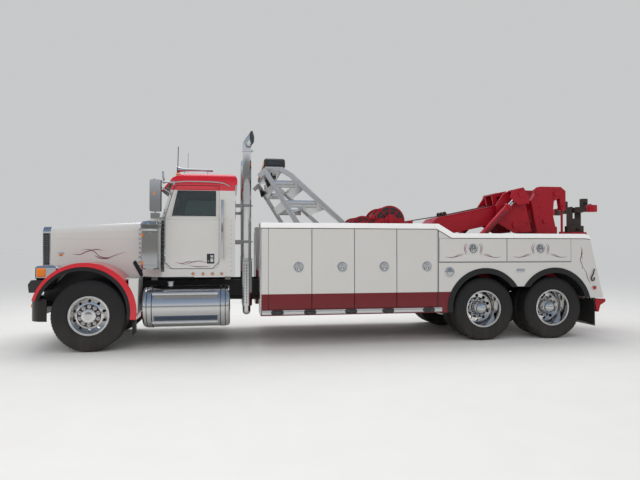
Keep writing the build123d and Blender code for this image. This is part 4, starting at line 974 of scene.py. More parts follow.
class TRUCK_OT_cab(bpy.types.Operator):
    """Window gaskets, door seals, handles, lamps, horns and the inside of the cab"""

    bl_idname = "truck.cab"
    bl_label = "Cab trim"

    def execute(self, context):
        for side, sign in SIDES:
            self.door(side, sign)
            self.wall(side, sign)
        self.roof()
        self.inside()
        self.windows()
        return {"FINISHED"}

    def door(self, side, sign):
        """What is on one door: gasket, handle, seal and stripes."""
        body = f"cab_door_{side}"
        with piece(f"door_gaskets_{side}", "rubber", body) as bm:
            corners = [at(x, sign * (cab_y(z) - 0.001), z) for x, z in
                       ((1.203, 2.086), (1.3, 2.54), (1.955, 2.54), (1.955, 2.086))]
            ring(bm, corners, 0.026, outward(sign) * 0.008)
            edge = [at(x, sign * (cab_y(z) - 0.002), z) for x, z in DOOR_EDGE]
            for path in ((edge[-2], edge[-1], edge[0], edge[1]), edge[4:7], edge[3:5], edge[1:4]):
                pipe(bm, path, 0.0055, 8)
            tube(bm, at(1.225, sign * 0.99, 2.1), at(1.932, sign * 0.99, 2.1), 0.012, 8)
        with piece(f"door_handle_{side}", "plastic", body) as bm:
            box(bm, (1.79, 1.912), flank(sign, 1.012, 1.026), (1.318, 1.482), 0.01)
            box(bm, (1.2, 1.95), flank(sign, 0.945, 0.985), (1.3, 2.05), 0.02)
        with piece(f"door_latch_{side}", "chrome", body) as bm:
            box(bm, (1.845, 1.898), flank(sign, 1.022, 1.04), (1.345, 1.462), 0.012, 3)
            tube(bm, at(1.815, sign * 1.022, 1.36), at(1.815, sign * 1.031, 1.36), 0.012, 16)
            tube(bm, at(1.3, sign * 0.935, 1.7), at(1.6, sign * 0.935, 1.7), 0.012, 12)
        with piece(f"door_belt_{side}", "body", body) as bm:
            box(bm, (1.135, 1.975), flank(sign, 1.018, 1.03), (2.045, 2.082), 0.006)
        with piece(f"door_stripes_{side}", "stripe", body) as bm:
            for stripe in DOOR_STRIPES:
                path = flow([at(x, sign * 1.019, z) for x, z in stripe])
                strip(bm, path, UP * 0.011, outward(sign) * 0.003, pointed=True)

    def roof(self):
        """Horns, marker lamps and aerials on the roof."""
        with piece("air_horns", "chrome") as bm:
            for y in (-0.62, 0.62):
                lathe(bm, at(1.27, y, 2.912), REARWARD, HORN_HOLLOW + HORN_BELL, 28)
                for x in (1.4, 1.78):
                    box(bm, about(x, 0.012), about(y, 0.016), (2.775, 2.912), 0.003)
        with piece("marker_bases", "chrome") as bm:
            for y in ROOF_LAMPS:
                box(bm, (1.285, 1.4), about(y, 0.034), (2.755, 2.806), 0.014, 3)
        with piece("marker_lamps", "amber") as bm:
            for y in ROOF_LAMPS:
                dome(bm, at(1.31, y, 2.806), 0.03, (1.5, 1.0, 0.9))
        with piece("aerials", "plastic") as bm:
            for x, y, low, high, radius in AERIALS:
                dome(bm, at(x, y, low), 0.022, (1, 1, 0.8))
                tube(bm, at(x, y, low), at(x + 0.012, y, high), radius, 8)
        with piece("aerial_bases", "chrome") as bm:
            for sign in (-1, 1):
                foot = at(1.112, sign * 1.085, 2.64)
                tube(bm, foot, at(1.09, sign * 1.085, 2.815), 0.018, 16, soft=0.004)
                dome(bm, at(1.11, sign * 1.085, 2.64), 0.026)

    def inside(self):
        """Seat covers, gauges and the steering wheel's boss, which show through the glass."""
        with piece("seat_covers", "vinyl") as bm:
            for y in (-0.57, 0.57):
                low, high = y - 0.235, y + 0.235
                box(bm, (1.5, 1.95), (low, high), (1.668, 1.745), 0.03, 3)
                for z in (1.78, 2.02, 2.26):
                    x = 1.93 + (z - 1.67) * 0.205
                    box(bm, (x - 0.045, x + 0.035), (low + 0.01, high - 0.01), (z, z + 0.215), 0.028, 3)
        with piece("gauges", "chrome") as bm:
            for i in range(6):
                centre = at(1.178, -0.66 + 0.075 * i, 1.965)
                dial = ((0, 0.03), (0.01, 0.03), (0.01, 0.024), (0.004, 0.0))
                lathe(bm, centre, Vector((1, 0, 0.5)), dial, 20)
        with piece("steering_boss", "plastic") as bm:
            aim = Vector((0.25, 0, 0.15)).normalized()
            boss = ((0.0, 0.07), (0.03, 0.068), (0.042, 0.045), (0.046, 0.0))
            lathe(bm, at(1.4, -0.48, 1.95), aim, boss, 28)

    def wall(self, side, sign):
        """Grab rail, studs, hinges, lamps and drip rail of one side."""
        with piece(f"cab_side_trim_{side}", "chrome") as bm:
            x, y = 2.04, sign * 1.075
            tube(bm, at(x, y, 1.41), at(x, y, 2.37), 0.0185, 16, soft=0.004)
            tube(bm, at(x, sign * 1.000, 1.43), at(x, sign * 1.072, 1.43), 0.02, 16)
            tube(bm, at(x, sign * 0.99, 2.34), at(x, sign * 1.072, 2.34), 0.02, 16)
            for x in CAB_LAMPS:
                lathe(bm, at(x, sign * 1.018, 1.15), outward(sign),
                      ((0.0, 0.03), (0.008, 0.028), (0.01, 0.02), (0.004, 0.018), (0.004, 0.0)), 20)
            studs(bm, row(at(2.185, sign * 1.021, 1.2), at(2.185, sign * 1.021, 2.02), 12), 0.007)
            for z in (1.5, 2.15):
                box(bm, (1.108, 1.128), flank(sign, 1.012, 1.036), about(z, 0.06), 0.006)
        with piece(f"cab_side_lamps_{side}", "amber") as bm:
            for x in CAB_LAMPS:
                dome(bm, at(x, sign * 1.02, 1.15), 0.019, (1, 0.7, 1))
        with piece(f"drip_rail_{side}", "chrome") as bm:
            path = [at(x, sign * (y + 0.006), z) for x, y, z in (
                (1.19, 0.985, 2.64), (1.45, 0.99, 2.668), (1.85, 0.99, 2.668), (2.05, 0.988, 2.65),
                (2.16, 0.988, 2.6))]
            strip(bm, flow(path), UP * 0.018, outward(sign) * 0.014)
        with piece(f"cowl_seam_{side}", "rubber") as bm:
            seam = [at(x, sign * (CAB_HALF + 0.001), 2.078) for x in (1.09, 1.12)]
            strip(bm, seam, UP * 0.01, outward(sign) * 0.002)

    def windows(self):
        """Gaskets of the front and rear glass, and the wipers."""
        with piece("screen_gaskets", "rubber") as bm:
            slope = Vector((0.16, 0, 0.545)).normalized()
            out = Vector((-slope.z, 0, slope.x))
            for sign in (-1, 1):
                corners = []
                for y, z in ((0.03, 2.13), (0.915, 2.13), (0.89, 2.478), (0.03, 2.478)):
                    corners.append(at(1.075 + 0.16 * (z - 2.085) / 0.545, sign * y, z) - out * 0.002)
                middle = sum(corners, Vector()) / 4
                corners = [c + (c - middle).normalized() * 0.022 for c in corners]
                ring(bm, corners, 0.03, out * 0.009)
        with piece("wipers", "plastic") as bm:
            for y in (-0.42, 0.42):
                foot = at(1.062, y - 0.22, 2.105)
                tube(bm, foot, at(1.098, y + 0.08, 2.235), 0.006, 8)
                tube(bm, at(1.075, y - 0.16, 2.14), at(1.137, y + 0.26, 2.345), 0.008, 8)
                dome(bm, foot, 0.02)
        with piece("rear_window_gasket", "rubber") as bm:
            corners = [at(2.249, y, z) for y, z in (
                (-0.38, 2.1), (0.38, 2.1), (0.38, 2.42), (-0.38, 2.42))]
            ring(bm, corners, 0.032, REARWARD * 0.01)


# Tanks, stacks, air cleaners and mirrors

TANK = (0.91, 0.622)  # width and height of the tank's axis
TANK_ENDS = (0.905, 2.055)
STACK = (2.44, 1.000)  # station and width
STACK_RADIUS = 0.075
LOWER_RADIUS = 0.066
ELBOW_HEIGHT = 0.535
STACK_AIM = radians(35)
STACK_LEAN = radians(43)
STACK_BEND = (  # reach along the aim, height and lean of each ring
    (0.0, 3.24, 0), (0.003, 3.285, 12), (0.013, 3.322, 27), (0.041, 3.354, 43),
)
MOUTH = (0.102, 3.42)  # reach along the aim and height
CLEANER = (0.918, 1.125)  # station and width


class TRUCK_OT_sides(bpy.types.Operator):
    """Tank caps and treads, exhaust stacks, air cleaner trim, and mirror glass and arms"""

    bl_idname = "truck.sides"
    bl_label = "Tanks and stacks"

    def execute(self, context):
        self.stacks()
        for side, sign in SIDES:
            self.tank(side, sign)
            self.stack(side, sign)
            self.cleaner(side, sign)
            self.mirror(side, sign)
        return {"FINISHED"}

    def stack(self, side, sign):
        """One exhaust stack's clamps, slotted shield and dark mouth."""
        x, y = STACK[0], sign * STACK[1]
        with piece(f"stack_trim_{side}", "chrome") as bm:
            for z in (1.385, 1.68, 2.28, 3.2):
                clamp = ((-0.022, 0.0755), (-0.018, 0.081), (0.018, 0.081), (0.022, 0.0755))
                lathe(bm, at(x, y, z), UP, clamp, 36)
                box(bm, (x + 0.074, x + 0.105), about(y, 0.012), about(z, 0.014), 0.003)
        with piece(f"stack_shield_{side}", "polished") as bm:
            outer = arc((0, 0), 0.092, 40, 320, 36)
            inner = arc((0, 0), 0.088, 320, 40, 36)
            plate(bm, [at(x - c, y + sign * s, 0.62) for c, s in outer + inner], UP * 0.74)
        with piece(f"stack_slots_{side}", "dark") as bm:
            for i in range(14):
                for turn in (-118, -90, -62):
                    angle = radians(turn)
                    slot = at(x + 0.0905 * cos(angle), y - sign * 0.0905 * sin(angle), 0.68 + 0.047 * i)
                    dome(bm, slot, 0.01, (0.9, 0.35, 1.7), 5, 8)
        with piece(f"stack_mouth_{side}", "dark") as bm:
            self.mouth(bm, sign, STACK_RADIUS - 0.005, 0.008, filled=True)

    def mouth(self, bm, sign, radius, inset=0.0, filled=False):
        """The slanted rim of a stack's mouth: a round section slid along the pipe onto an upright plane."""
        aim = Vector((cos(STACK_AIM), sign * sin(STACK_AIM), 0))
        lean = aim * sin(STACK_LEAN) + UP * cos(STACK_LEAN)
        centre = at(STACK[0], sign * STACK[1], MOUTH[1]) + aim * MOUTH[0]
        made = bmesh.ops.create_circle(
            bm, cap_ends=filled, segments=36, radius=radius,
            matrix=Matrix.Translation(centre) @ self.turned(aim, STACK_LEAN))
        for vert in made["verts"]:
            vert.co -= lean * ((vert.co - centre).dot(aim) / lean.dot(aim)) + aim * inset
        return list({e for v in made["verts"] for e in v.link_edges})

    def turned(self, aim, lean):
        """The turn of a pipe's section that leans towards an aim."""
        return Matrix.Rotation(lean, 4, UP.cross(aim))

    def stacks(self):
        """Both stacks: lower pipe and elbow, upper pipe, and a turned end with a slanted mouth."""
        with piece("exhaust_pipes", "chrome", stands_for=["exhaust_stacks"]) as bm:
            for sign in (-1, 1):
                foot = at(STACK[0], sign * STACK[1], 0)
                aim = Vector((cos(STACK_AIM), sign * sin(STACK_AIM), 0))
                elbow = at(STACK[0], sign * STACK[1], ELBOW_HEIGHT)
                tube(bm, at(STACK[0], sign * 0.56, ELBOW_HEIGHT), elbow, LOWER_RADIUS, 36)
                dome(bm, elbow, LOWER_RADIUS, rings=16, around=36)
                pipes = ((ELBOW_HEIGHT, LOWER_RADIUS), (1.385, LOWER_RADIUS), (1.4, STACK_RADIUS),
                         (STACK_BEND[0][1], STACK_RADIUS))
                lathe(bm, foot, UP, pipes, 36)
                for z in (1.65, 2.25):
                    box(bm, (2.25, 2.38), flank(sign, 0.985, 1.01), (z, z + 0.06))
                rims = []
                for drift, z, lean in STACK_BEND:
                    made = bmesh.ops.create_circle(
                        bm, segments=36, radius=STACK_RADIUS,
                        matrix=Matrix.Translation(foot + aim * drift + UP * z)
                        @ self.turned(aim, radians(lean)))
                    rims.append(list({e for v in made["verts"] for e in v.link_edges}))
                rims.append(self.mouth(bm, sign, STACK_RADIUS, filled=True))
                throat = rims[-1][0].link_faces[0]
                for low, high in zip(rims, rims[1:]):
                    bmesh.ops.bridge_loops(bm, edges=low + high)
                bmesh.ops.inset_region(bm, faces=[throat], thickness=0.006, use_even_offset=True)
                bmesh.ops.translate(bm, verts=throat.verts, vec=aim * -0.012)

    def cleaner(self, side, sign):
        """One air cleaner's bands, screen and lamp strips."""
        x, y = CLEANER[0], sign * CLEANER[1]
        with piece(f"cleaner_trim_{side}", "chrome") as bm:
            for z, radius in ((1.3, 0.155), (1.82, 0.155), (1.884, 0.161), (1.952, 0.161)):
                crest = radius + 0.004
                band = ((-0.012, radius), (-0.008, crest), (0.008, crest), (0.012, radius))
                lathe(bm, at(x, y, z), UP, band, 56)
        with piece(f"cleaner_screen_{side}", "dark") as bm:
            for i in range(7):
                wire = ((-0.0022, 0.1605), (0, 0.163), (0.0022, 0.1605))
                lathe(bm, at(x, y, 1.896 + 0.0078 * i), UP, wire, 48)
            box(bm, (1.066, 1.112), flank(sign, 0.985, 1.03), (1.19, 2.02), 0.006)
        with piece(f"cleaner_studs_{side}", "chrome") as bm:
            studs(bm, row(at(1.09, sign * 1.031, 1.22), at(1.09, sign * 1.031, 1.98), 12), 0.01)
        with piece(f"cleaner_lamps_{side}", "amber") as bm:
            studs(bm, [at(0.8, sign * 1.227, z) for z in (1.34, 1.775)], 0.02, (1, 1, 1.5))

    def tank(self, side, sign):
        """One tank's bands, filler cap, step treads and joints."""
        out = outward(sign)
        with piece(f"tank_trim_{side}", "chrome") as bm:
            for x in TANK_ENDS:
                for dx in (-0.034, 0.034):
                    band = ((-0.004, 0.341), (0.0, 0.347), (0.004, 0.341))
                    lathe(bm, at(x + dx, sign * TANK[0], TANK[1]), REARWARD, band, 64)
            cap = ((0, 0.058), (0.03, 0.058), (0.034, 0.062), (0.062, 0.062), (0.068, 0.056), (0.068, 0.0))
            lathe(bm, at(1.2, sign * 0.86, 0.95), UP, cap, 32)
            for z in (0.853, 0.403):
                box(bm, (0.96, 1.98), flank(sign, 1.268, 1.284), about(z, 0.022), 0.006)
                heads = [at(x, sign * 1.284, z) for x in (1.00, 1.25, 1.5, 1.75, 1.94)]
                bolts(bm, heads, out, 0.012, 0.008)
        with piece(f"step_treads_{side}", "deck") as bm:
            for high in (0.871, 0.421):
                for y in (1.125, 1.155, 1.185, 1.215, 1.245):
                    box(bm, (0.985, 1.955), flank(sign, y - 0.006, y + 0.006),
                        (high - 0.002, high + 0.006), 0.002)
        with piece(f"tank_joints_{side}", "rubber") as bm:
            for x in TANK_ENDS:
                for dx in (-0.043, 0.043):
                    joint = ((-0.005, 0.333), (0.0, 0.339), (0.005, 0.333))
                    lathe(bm, at(x + dx, sign * TANK[0], TANK[1]), REARWARD, joint, 64)

    def mirror(self, side, sign):
        """One mirror's glass, rim, arms and lamp."""
        with piece(f"mirror_glass_{side}", "mirror") as bm:
            box(bm, (1.084, 1.09), flank(sign, 1.214, 1.271), (2.17, 2.64), 0.002)
            box(bm, (1.069, 1.075), flank(sign, 1.222, 1.268), (2.05, 2.12), 0.002)
        with piece(f"mirror_trim_{side}", "plastic") as bm:
            corners = [at(1.083, sign * y, z) for y, z in (
                (1.208, 2.158), (1.277, 2.158), (1.277, 2.652), (1.208, 2.652))]
            ring(bm, corners, 0.007, REARWARD * 0.009)
            box(bm, (0.955, 1.045), flank(sign, 1.195, 1.21), (2.33, 2.43), 0.005)
        with piece(f"mirror_arms_{side}", "chrome") as bm:
            tube(bm, at(0.985, sign * 1.235, 2.64), at(1.25, sign * 0.99, 2.645), 0.0125, 14)
            top = at(0.985, sign * 1.243, 2.668)
            tube(bm, at(0.985, sign * 1.243, 2.15), top, 0.014, 14, soft=0.004)
            dome(bm, top, 0.018)
            box(bm, (1.235, 1.275), flank(sign, 0.978, 1.000), (2.615, 2.675), 0.006)
        with piece(f"mirror_lamp_{side}", "amber") as bm:
            dome(bm, at(0.985, sign * 1.281, 2.44), 0.02, (0.7, 0.5, 1.6))


# Tool body

LATCH_DISH = (  # distance out, and how far in from the rim
    (-0.002, 0.0), (0.006, 0.0), (0.01, 0.006), (0.01, 0.014), (0.002, 0.024),
)
FILLER_CAP = ((-0.002, 0.088), (0.006, 0.088), (0.01, 0.08), (0.01, 0.072), (0.004, 0.066), (0.01, 0.052),
              (0.024, 0.048), (0.028, 0.0), (-0.002, 0.0))
LAMP_CUP = ((-0.002, 0.048), (0.01, 0.046), (0.012, 0.034), (0.004, 0.032), (0.004, 0.0), (-0.002, 0.0))
# Distance from the lamp's middle, and height
GROMMET = ((-0.078, 0.484), (0.078, 0.484), (0.102, 0.503), (0.102, 0.541), (0.078, 0.56), (-0.078, 0.56),
           (-0.102, 0.541), (-0.102, 0.503))
RAIL_HIGH = ((2.656, 1.992), (5.7, 1.992), (5.975, 1.83), (8.47, 1.83), (8.56, 1.795), (8.592, 1.738))
RAIL_LOW = ((8.575, 1.735), (8.47, 1.748), (5.935, 1.748), (5.665, 1.904), (2.656, 1.904))
# Door, station and height of each latch
LATCHES = (("a", 3.28, 1.26), ("b", 4.01, 1.26), ("c", 4.735, 1.26), ("d", 5.49, 1.26), ("e", 6.335, 1.565),
           ("f", 7.605, 1.565))
SILL_LAMPS = (2.93, 3.47, 4.16, 4.8, 5.52)
SEAL_GAP = (0.0055, 0.0045)
# Distance from the latch's middle, and height
SCROLLS = (
    ((0.125, 1.665), (0.165, 1.6), (0.15, 1.505), (0.125, 1.46)),
    ((0.105, 1.65), (0.14, 1.57), (0.118, 1.48)),
    ((0.165, 1.47), (0.265, 1.462), (0.35, 1.42), (0.44, 1.412), (0.52, 1.426)),
    ((0.2, 1.452), (0.3, 1.43), (0.39, 1.408)),
)
CORNER_STRIPES = (
    ((8.395, 1.6), (8.425, 1.48), (8.385, 1.38), (8.425, 1.25), (8.42, 1.19)),
    ((8.43, 1.565), (8.405, 1.47), (8.43, 1.37)),
    ((8.425, 1.25), (8.5, 1.13), (8.53, 1.02), (8.585, 0.93)),
)


class TRUCK_OT_body(bpy.types.Operator):
    """Rails, latches, door seals, sill lamps and stripes of the tool body"""

    bl_idname = "truck.body"
    bl_label = "Tool body"

    def execute(self, context):
        latch = context.scene.truck_trim.latch_radius
        for side, sign in SIDES:
            out = outward(sign)
            face = sign * BODY_HALF
            with piece(f"body_rail_{side}", "rail") as bm:
                plate(bm, [at(x, sign * 1.24, z) for x, z in RAIL_HIGH + RAIL_LOW], out * 0.056, 0.011, 3)
            with piece(f"rail_shadow_{side}", "rubber") as bm:
                pipe(bm, [at(x, face, z - 0.002) for x, z in RAIL_LOW], 0.008, 8)
            for name, x, z in LATCHES:
                self.latch(f"{name}_{side}", x, face, z, sign, latch)
            self.seals(side, sign, out, face)
            self.sill(side, sign, out, face)
            self.fittings(side, sign, out, face)
            self.stripes(side, sign, out, face)
        with piece("deck_plate", "deck") as bm:
            box(bm, (2.68, 8.05), (-0.645, 0.645), (1.19, 1.196), 0.002)
            for x in (2.9, 3.2, 3.5, 3.8, 6.8, 7.1, 7.4, 7.7):
                box(bm, about(x, 0.02), (-0.62, 0.62), (1.195, 1.202), 0.002)
        with piece("flare_edges", "rubber") as bm:
            for sign in (-1, 1):
                for station in REAR_STATIONS:
                    start, end = (175, 33) if station == REAR_STATIONS[0] else (147, 13)
                    path = [at(x, sign * 1.278, z) for x, z in arc((station, 0.52), 0.698, start, end, 36)]
                    pipe(bm, path, 0.011, 8)
        return {"FINISHED"}

    def latch(self, door, x, face, z, sign, radius):
        """A door's round latch: a dished plate with a half-moon paddle, a key, and painted shade along the
        paddle's edge.
        """
        out = outward(sign)
        with piece(f"latch_{door}", "chrome", f"tool_door_{door}") as bm:
            dish = [(along, radius - inset) for along, inset in LATCH_DISH] + [(0.002, 0.0), (-0.002, 0.0)]
            lathe(bm, at(x, face, z), out, dish, 44)
            paddle = [at(x + c, face + sign * 0.003, z - 0.004 + s)
                      for c, s in arc((0, 0), radius * 0.62, 188, 352, 16)]
            plate(bm, paddle, out * 0.011, 0.003)
            tube(bm, at(x, face, z + 0.032), at(x, face + sign * 0.012, z + 0.032), 0.013, 16, soft=0.003)
        with piece(f"latch_{door}_key", "dark", f"tool_door_{door}") as bm:
            # A dark crescent along the paddle's curved edge: painted shade in the dish under the paddle.
            shade = [at(x + c, face + sign * 0.003, z + 0.004 + s) for c, s in
                     arc((0, 0), radius * 0.7, 200, 340, 16) + arc((0, 0), radius * 0.62, 340, 200, 16)]
            plate(bm, shade, out * 0.004)
            box(bm, about(x, 0.0015), flank(sign, BODY_HALF + 0.011, BODY_HALF + 0.0135),
                (z + 0.025, z + 0.039))
            for dx in (-0.022, 0.022):
                dome(bm, at(x + dx, face + sign * 0.0145, z - 0.03), 0.008, (1, 0.3, 1.5))

    def fittings(self, side, sign, out, face):
        """Filler cap, marker lamps and hook on one side."""
        with piece(f"body_fittings_{side}", "chrome") as bm:
            lathe(bm, at(5.9, face, 1.16), out, FILLER_CAP, 40)
            lever = flank(sign, BODY_HALF + 0.024, BODY_HALF + 0.036)
            box(bm, (5.855, 5.945), lever, (1.15, 1.17), 0.004)
            bezel = flank(sign, BODY_HALF - 0.002, BODY_HALF + 0.008)
            box(bm, (7.14, 7.3), bezel, (1.15, 1.212), 0.004)
            lathe(bm, at(8.655, face, 0.86), out, LAMP_CUP, 32)
            tube(bm, at(8.64, face, 1.15), at(8.64, face + sign * 0.03, 1.15), 0.01, 12)
        with piece(f"body_lamps_{side}", "lens") as bm:
            cover = flank(sign, BODY_HALF + 0.006, BODY_HALF + 0.014)
            box(bm, (7.152, 7.288), cover, (1.162, 1.2), 0.005)
        with piece(f"tail_side_lamp_{side}", "red_lens") as bm:
            dome(bm, at(8.655, face + sign * 0.006, 0.86), 0.031, (1, 0.45, 1))
        with piece(f"tie_hook_{side}", "plastic") as bm:
            bend = ((8.65, 1.2), (8.63, 1.12), (8.59, 1.04), (8.6, 0.995), (8.64, 1.000), (8.65, 1.045))
            pipe(bm, flow([at(x, face + sign * 0.02, z) for x, z in bend]), 0.011, 8)

    def stripes(self, side, sign, out, face):
        """Scrolls round the upper latches and down the rear corner."""
        for name, middle, _ in LATCHES[4:]:
            with piece(f"scroll_{name}_{side}", "stripe", f"tool_door_{name}_{side}") as bm:
                for turn in (-1, 1):
                    for points in SCROLLS:
                        path = flow([at(middle + turn * dx, face - sign * 0.001, z) for dx, z in points])
                        upright = points[0][1] > 1.6
                        across = REARWARD * 0.01 if upright else UP * 0.01
                        strip(bm, path, across, out * 0.003, pointed=True)
        with piece(f"corner_stripes_{side}", "stripe") as bm:
            for points in CORNER_STRIPES:
                path = flow([at(x, face - sign * 0.001, z) for x, z in points])
                strip(bm, path, REARWARD * 0.012, out * 0.003, pointed=True)

    def seals(self, side, sign, out, face):
        """A seal round each tool door of one side."""
        spans = [(n, a, b, 0.571, 1.899) for n, a, b in zip("abcd", SEAMS, SEAMS[1:])]
        spans += [(n, a, b, 1.338, 1.747) for n, a, b in zip("ef", UPPER_SEAMS, UPPER_SEAMS[1:])]
        for name, front, rear, low, high in spans:
            with piece(f"door_seal_{name}_{side}", "rubber", f"tool_door_{name}_{side}") as bm:
                front, rear = front + SEAL_GAP[0], rear - SEAL_GAP[0]
                low, high = low + SEAL_GAP[1], high - SEAL_GAP[1]
                corners = [at(x, face - sign * 0.004, z) for x, z in (
                    (front, low), (rear, low), (rear, high), (front, high))]
                ring(bm, corners, 0.0085, out * 0.006)

    def sill(self, side, sign, out, face):
        """Seams, sill with its lamps, and front corner of one side."""
        with piece(f"body_seams_{side}", "dark", slot="rubber") as bm:
            box(bm, (5.69, 5.704), flank(sign, BODY_HALF - 0.004, BODY_HALF + 0.001), (0.475, 1.9))
            box(bm, (5.704, 8.205), flank(sign, BODY_HALF - 0.004, BODY_HALF + 0.001), (1.322, 1.332))
        with piece(f"sill_{side}", "polished") as bm:
            skin = flank(sign, BODY_HALF - 0.003, BODY_HALF + 0.01)
            box(bm, (2.68, 5.76), skin, (0.486, 0.558), 0.004)
        with piece(f"sill_grommets_{side}", "plastic", slot="rubber") as bm:
            for x in SILL_LAMPS:
                plate(bm, [at(x + dx, face + sign * 0.008, z) for dx, z in GROMMET], out * 0.014, 0.003)
        with piece(f"sill_lamps_{side}", "lens") as bm:
            for x in SILL_LAMPS:
                box(bm, about(x, 0.074), flank(sign, BODY_HALF + 0.018, BODY_HALF + 0.03),
                    (0.501, 0.543), 0.009, 3)
        with piece(f"front_corner_{side}", "bright") as bm:
            edge = flank(sign, BODY_HALF - 0.06, BODY_HALF + 0.004)
            box(bm, (2.65, 2.672), edge, (0.5, 1.895), 0.003)
            skin = face + sign * 0.004
            studs(bm, row(at(2.664, skin, 0.55), at(2.664, skin, 1.86), 26), 0.007)


# Light pylon

LEG_SIDE = 1.112
LAMP_AIM = Vector((-1, 0, -0.25))
REAR_LEG = ((4.12, 1.95), (3.165, 2.8))
FRONT_LEG = ((3.31, 1.94), (2.735, 2.865))
TIE_HEIGHTS = ((2.25, 2.38), (2.58, 2.71))


def along_leg(leg, z):
    """The station of a leg's centre line at a height."""
    (x0, z0), (x1, z1) = leg
    return x0 + (x1 - x0) * (z - z0) / (z1 - z0)


class TRUCK_OT_pylon(bpy.types.Operator):
    """Braces, bolts and feet of the light pylon, its work lamps and the light bar's lenses"""

    bl_idname = "truck.pylon"
    bl_label = "Light pylon"

    def execute(self, context):
        with piece("pylon_trim", "bright") as bm:
            for sign in (-1, 1):
                out = outward(sign)
                for leg in (REAR_LEG, FRONT_LEG):
                    (x0, z0), (x1, z1) = leg
                    run = (at(x1, 0, z1) - at(x0, 0, z0)).normalized()
                    normal = Vector((run.z, 0, -run.x)) * 0.034
                    for edge in (normal, -normal):
                        low, high = at(x0, sign * LEG_SIDE, z0), at(x1, sign * LEG_SIDE, z1)
                        tube(bm, low + edge, high + edge, 0.008, 8)
                    box(bm, (x0 - 0.11, x0 + 0.05), flank(sign, 1.02, 1.14), (1.99, 2.004), 0.003)
                for low, high in TIE_HEIGHTS:
                    for z in (low + 0.03, high - 0.03):
                        heads = [at(along_leg(leg, z), sign * LEG_SIDE, z) for leg in (REAR_LEG, FRONT_LEG)]
                        bolts(bm, heads, out, 0.014, 0.01)
                    front, rear = along_leg(FRONT_LEG, high), along_leg(REAR_LEG, high)
                    front, rear = front + 0.02, rear - 0.02
                    box(bm, (front, rear), flank(sign, 1.055, 1.068), (low + 0.02, high), 0.003)
                    lip = low + 0.016
                    tube(bm, at(front, sign * 1.066, lip), at(rear, sign * 1.066, lip), 0.01, 10)
        with piece("pylon_lamps", "plastic") as bm:
            for y in (-0.9, 0.9):
                shell = ((0.0, 0.0), (0.0, 0.03), (0.045, 0.07), (0.078, 0.078), (0.086, 0.074),
                         (0.07, 0.06), (0.02, 0.0))
                lathe(bm, at(2.85, y, 2.7), LAMP_AIM, shell, 32)
                tube(bm, at(2.86, y, 2.71), at(2.86, y, 2.86), 0.012, 10)
        with piece("pylon_lamp_lenses", "lens") as bm:
            for y in (-0.9, 0.9):
                aim = LAMP_AIM.normalized()
                lens = ((0.0, 0.0), (0.0, 0.062), (0.014, 0.0))
                lathe(bm, at(2.85, y, 2.7) + aim * 0.07, aim, lens, 28)
        with piece("light_bar_lenses", "amber") as bm:
            for i in range(8):
                y = -0.945 + 0.27 * i
                box(bm, (2.716, 2.74), about(y, 0.115), (2.962, 3.032), 0.008)
                box(bm, (3.055, 3.079), about(y, 0.115), (2.962, 3.032), 0.008)
        with piece("light_bar_ends", "smoked") as bm:
            for sign in (-1, 1):
                box(bm, (2.78, 3.02), flank(sign, 1.065, 1.089), (2.962, 3.032), 0.008)
        with piece("light_bar_trim", "plastic") as bm:
            box(bm, (2.718, 3.077), (-1.086, 1.086), (2.936, 2.956), 0.006)
            for y in (-0.81, -0.27, 0.27, 0.81):
                box(bm, (2.76, 3.035), about(y, 0.012), (3.066, 3.082), 0.004)
            box(bm, (2.8, 3.00), (-0.12, 0.12), (2.86, 2.935), 0.01)
        return {"FINISHED"}


# Recovery gear

WINCHES = ((5.1, 2.08, 0.28, 0.235), (4.58, 1.95, 0.215, 0.18))  # place, flange and rope radius
DRUM_SPANS = ((-0.378, -0.012), (0.012, 0.378))
MOTOR_CAP = ((-0.004, 0.12), (0.02, 0.12), (0.028, 0.108), (0.028, 0.07), (0.06, 0.062), (0.066, 0.0))
SHEAVE = (2.045, 0.33)  # along the boom and above its axis
SHEAVE_RIM = ((-0.033, 0.112), (-0.033, 0.128), (-0.02, 0.128), (0.0, 0.116), (0.02, 0.128),
              (0.033, 0.128), (0.033, 0.112))
ROPE_WRAP = 0.112  # radius of the rope's path round a sheave
ROPE_DROP = 0.08
LINES = (("left", -0.1), ("right", 0.1))  # widths
LINE_UP = 0.326  # above the boom's axis
HOOK_BOW = ((0, 0, 0.02), (-0.005, 0, -0.035), (-0.045, 0, -0.08), (-0.04, 0, -0.135), (0.01, 0, -0.15),
            (0.045, 0, -0.115), (0.04, 0, -0.08))
HEAD_PLATE_BOLTS = ((7.4, 2.33), (7.42, 2.13), (7.79, 2.33), (7.87, 2.05), (7.7, 1.92))
MAST_BOLTS = ((8.14, 2.38), (8.14, 2.2), (8.14, 1.8), (8.42, 1.7), (8.44, 2.56), (8.64, 2.4))
BASE_BOLTS = ((4.33, 1.5), (4.33, 1.75), (5.7, 1.6), (5.9, 1.5), (6.1, 1.4), (5.3, 1.5))
STINGER = 9.15  # station of the stinger's axis


def rope_coil(bm, x, z, start, end, radius, rope):
    """Turns of rope laid side by side on a drum."""
    count = int((end - start) / (rope * 2))
    profile = [(start, radius - rope)]
    for i in range(count):
        low = start + (end - start) * i / count
        profile += [(low + rope * 0.3, radius + rope * 0.35), (low + rope, radius + rope),
                    (low + rope * 1.7, radius + rope * 0.35)]
    profile += [(end, radius - rope), (end, radius - 0.05), (start, radius - 0.05)]
    lathe(bm, at(x, 0, z), ACROSS, profile, 40, closed=True)


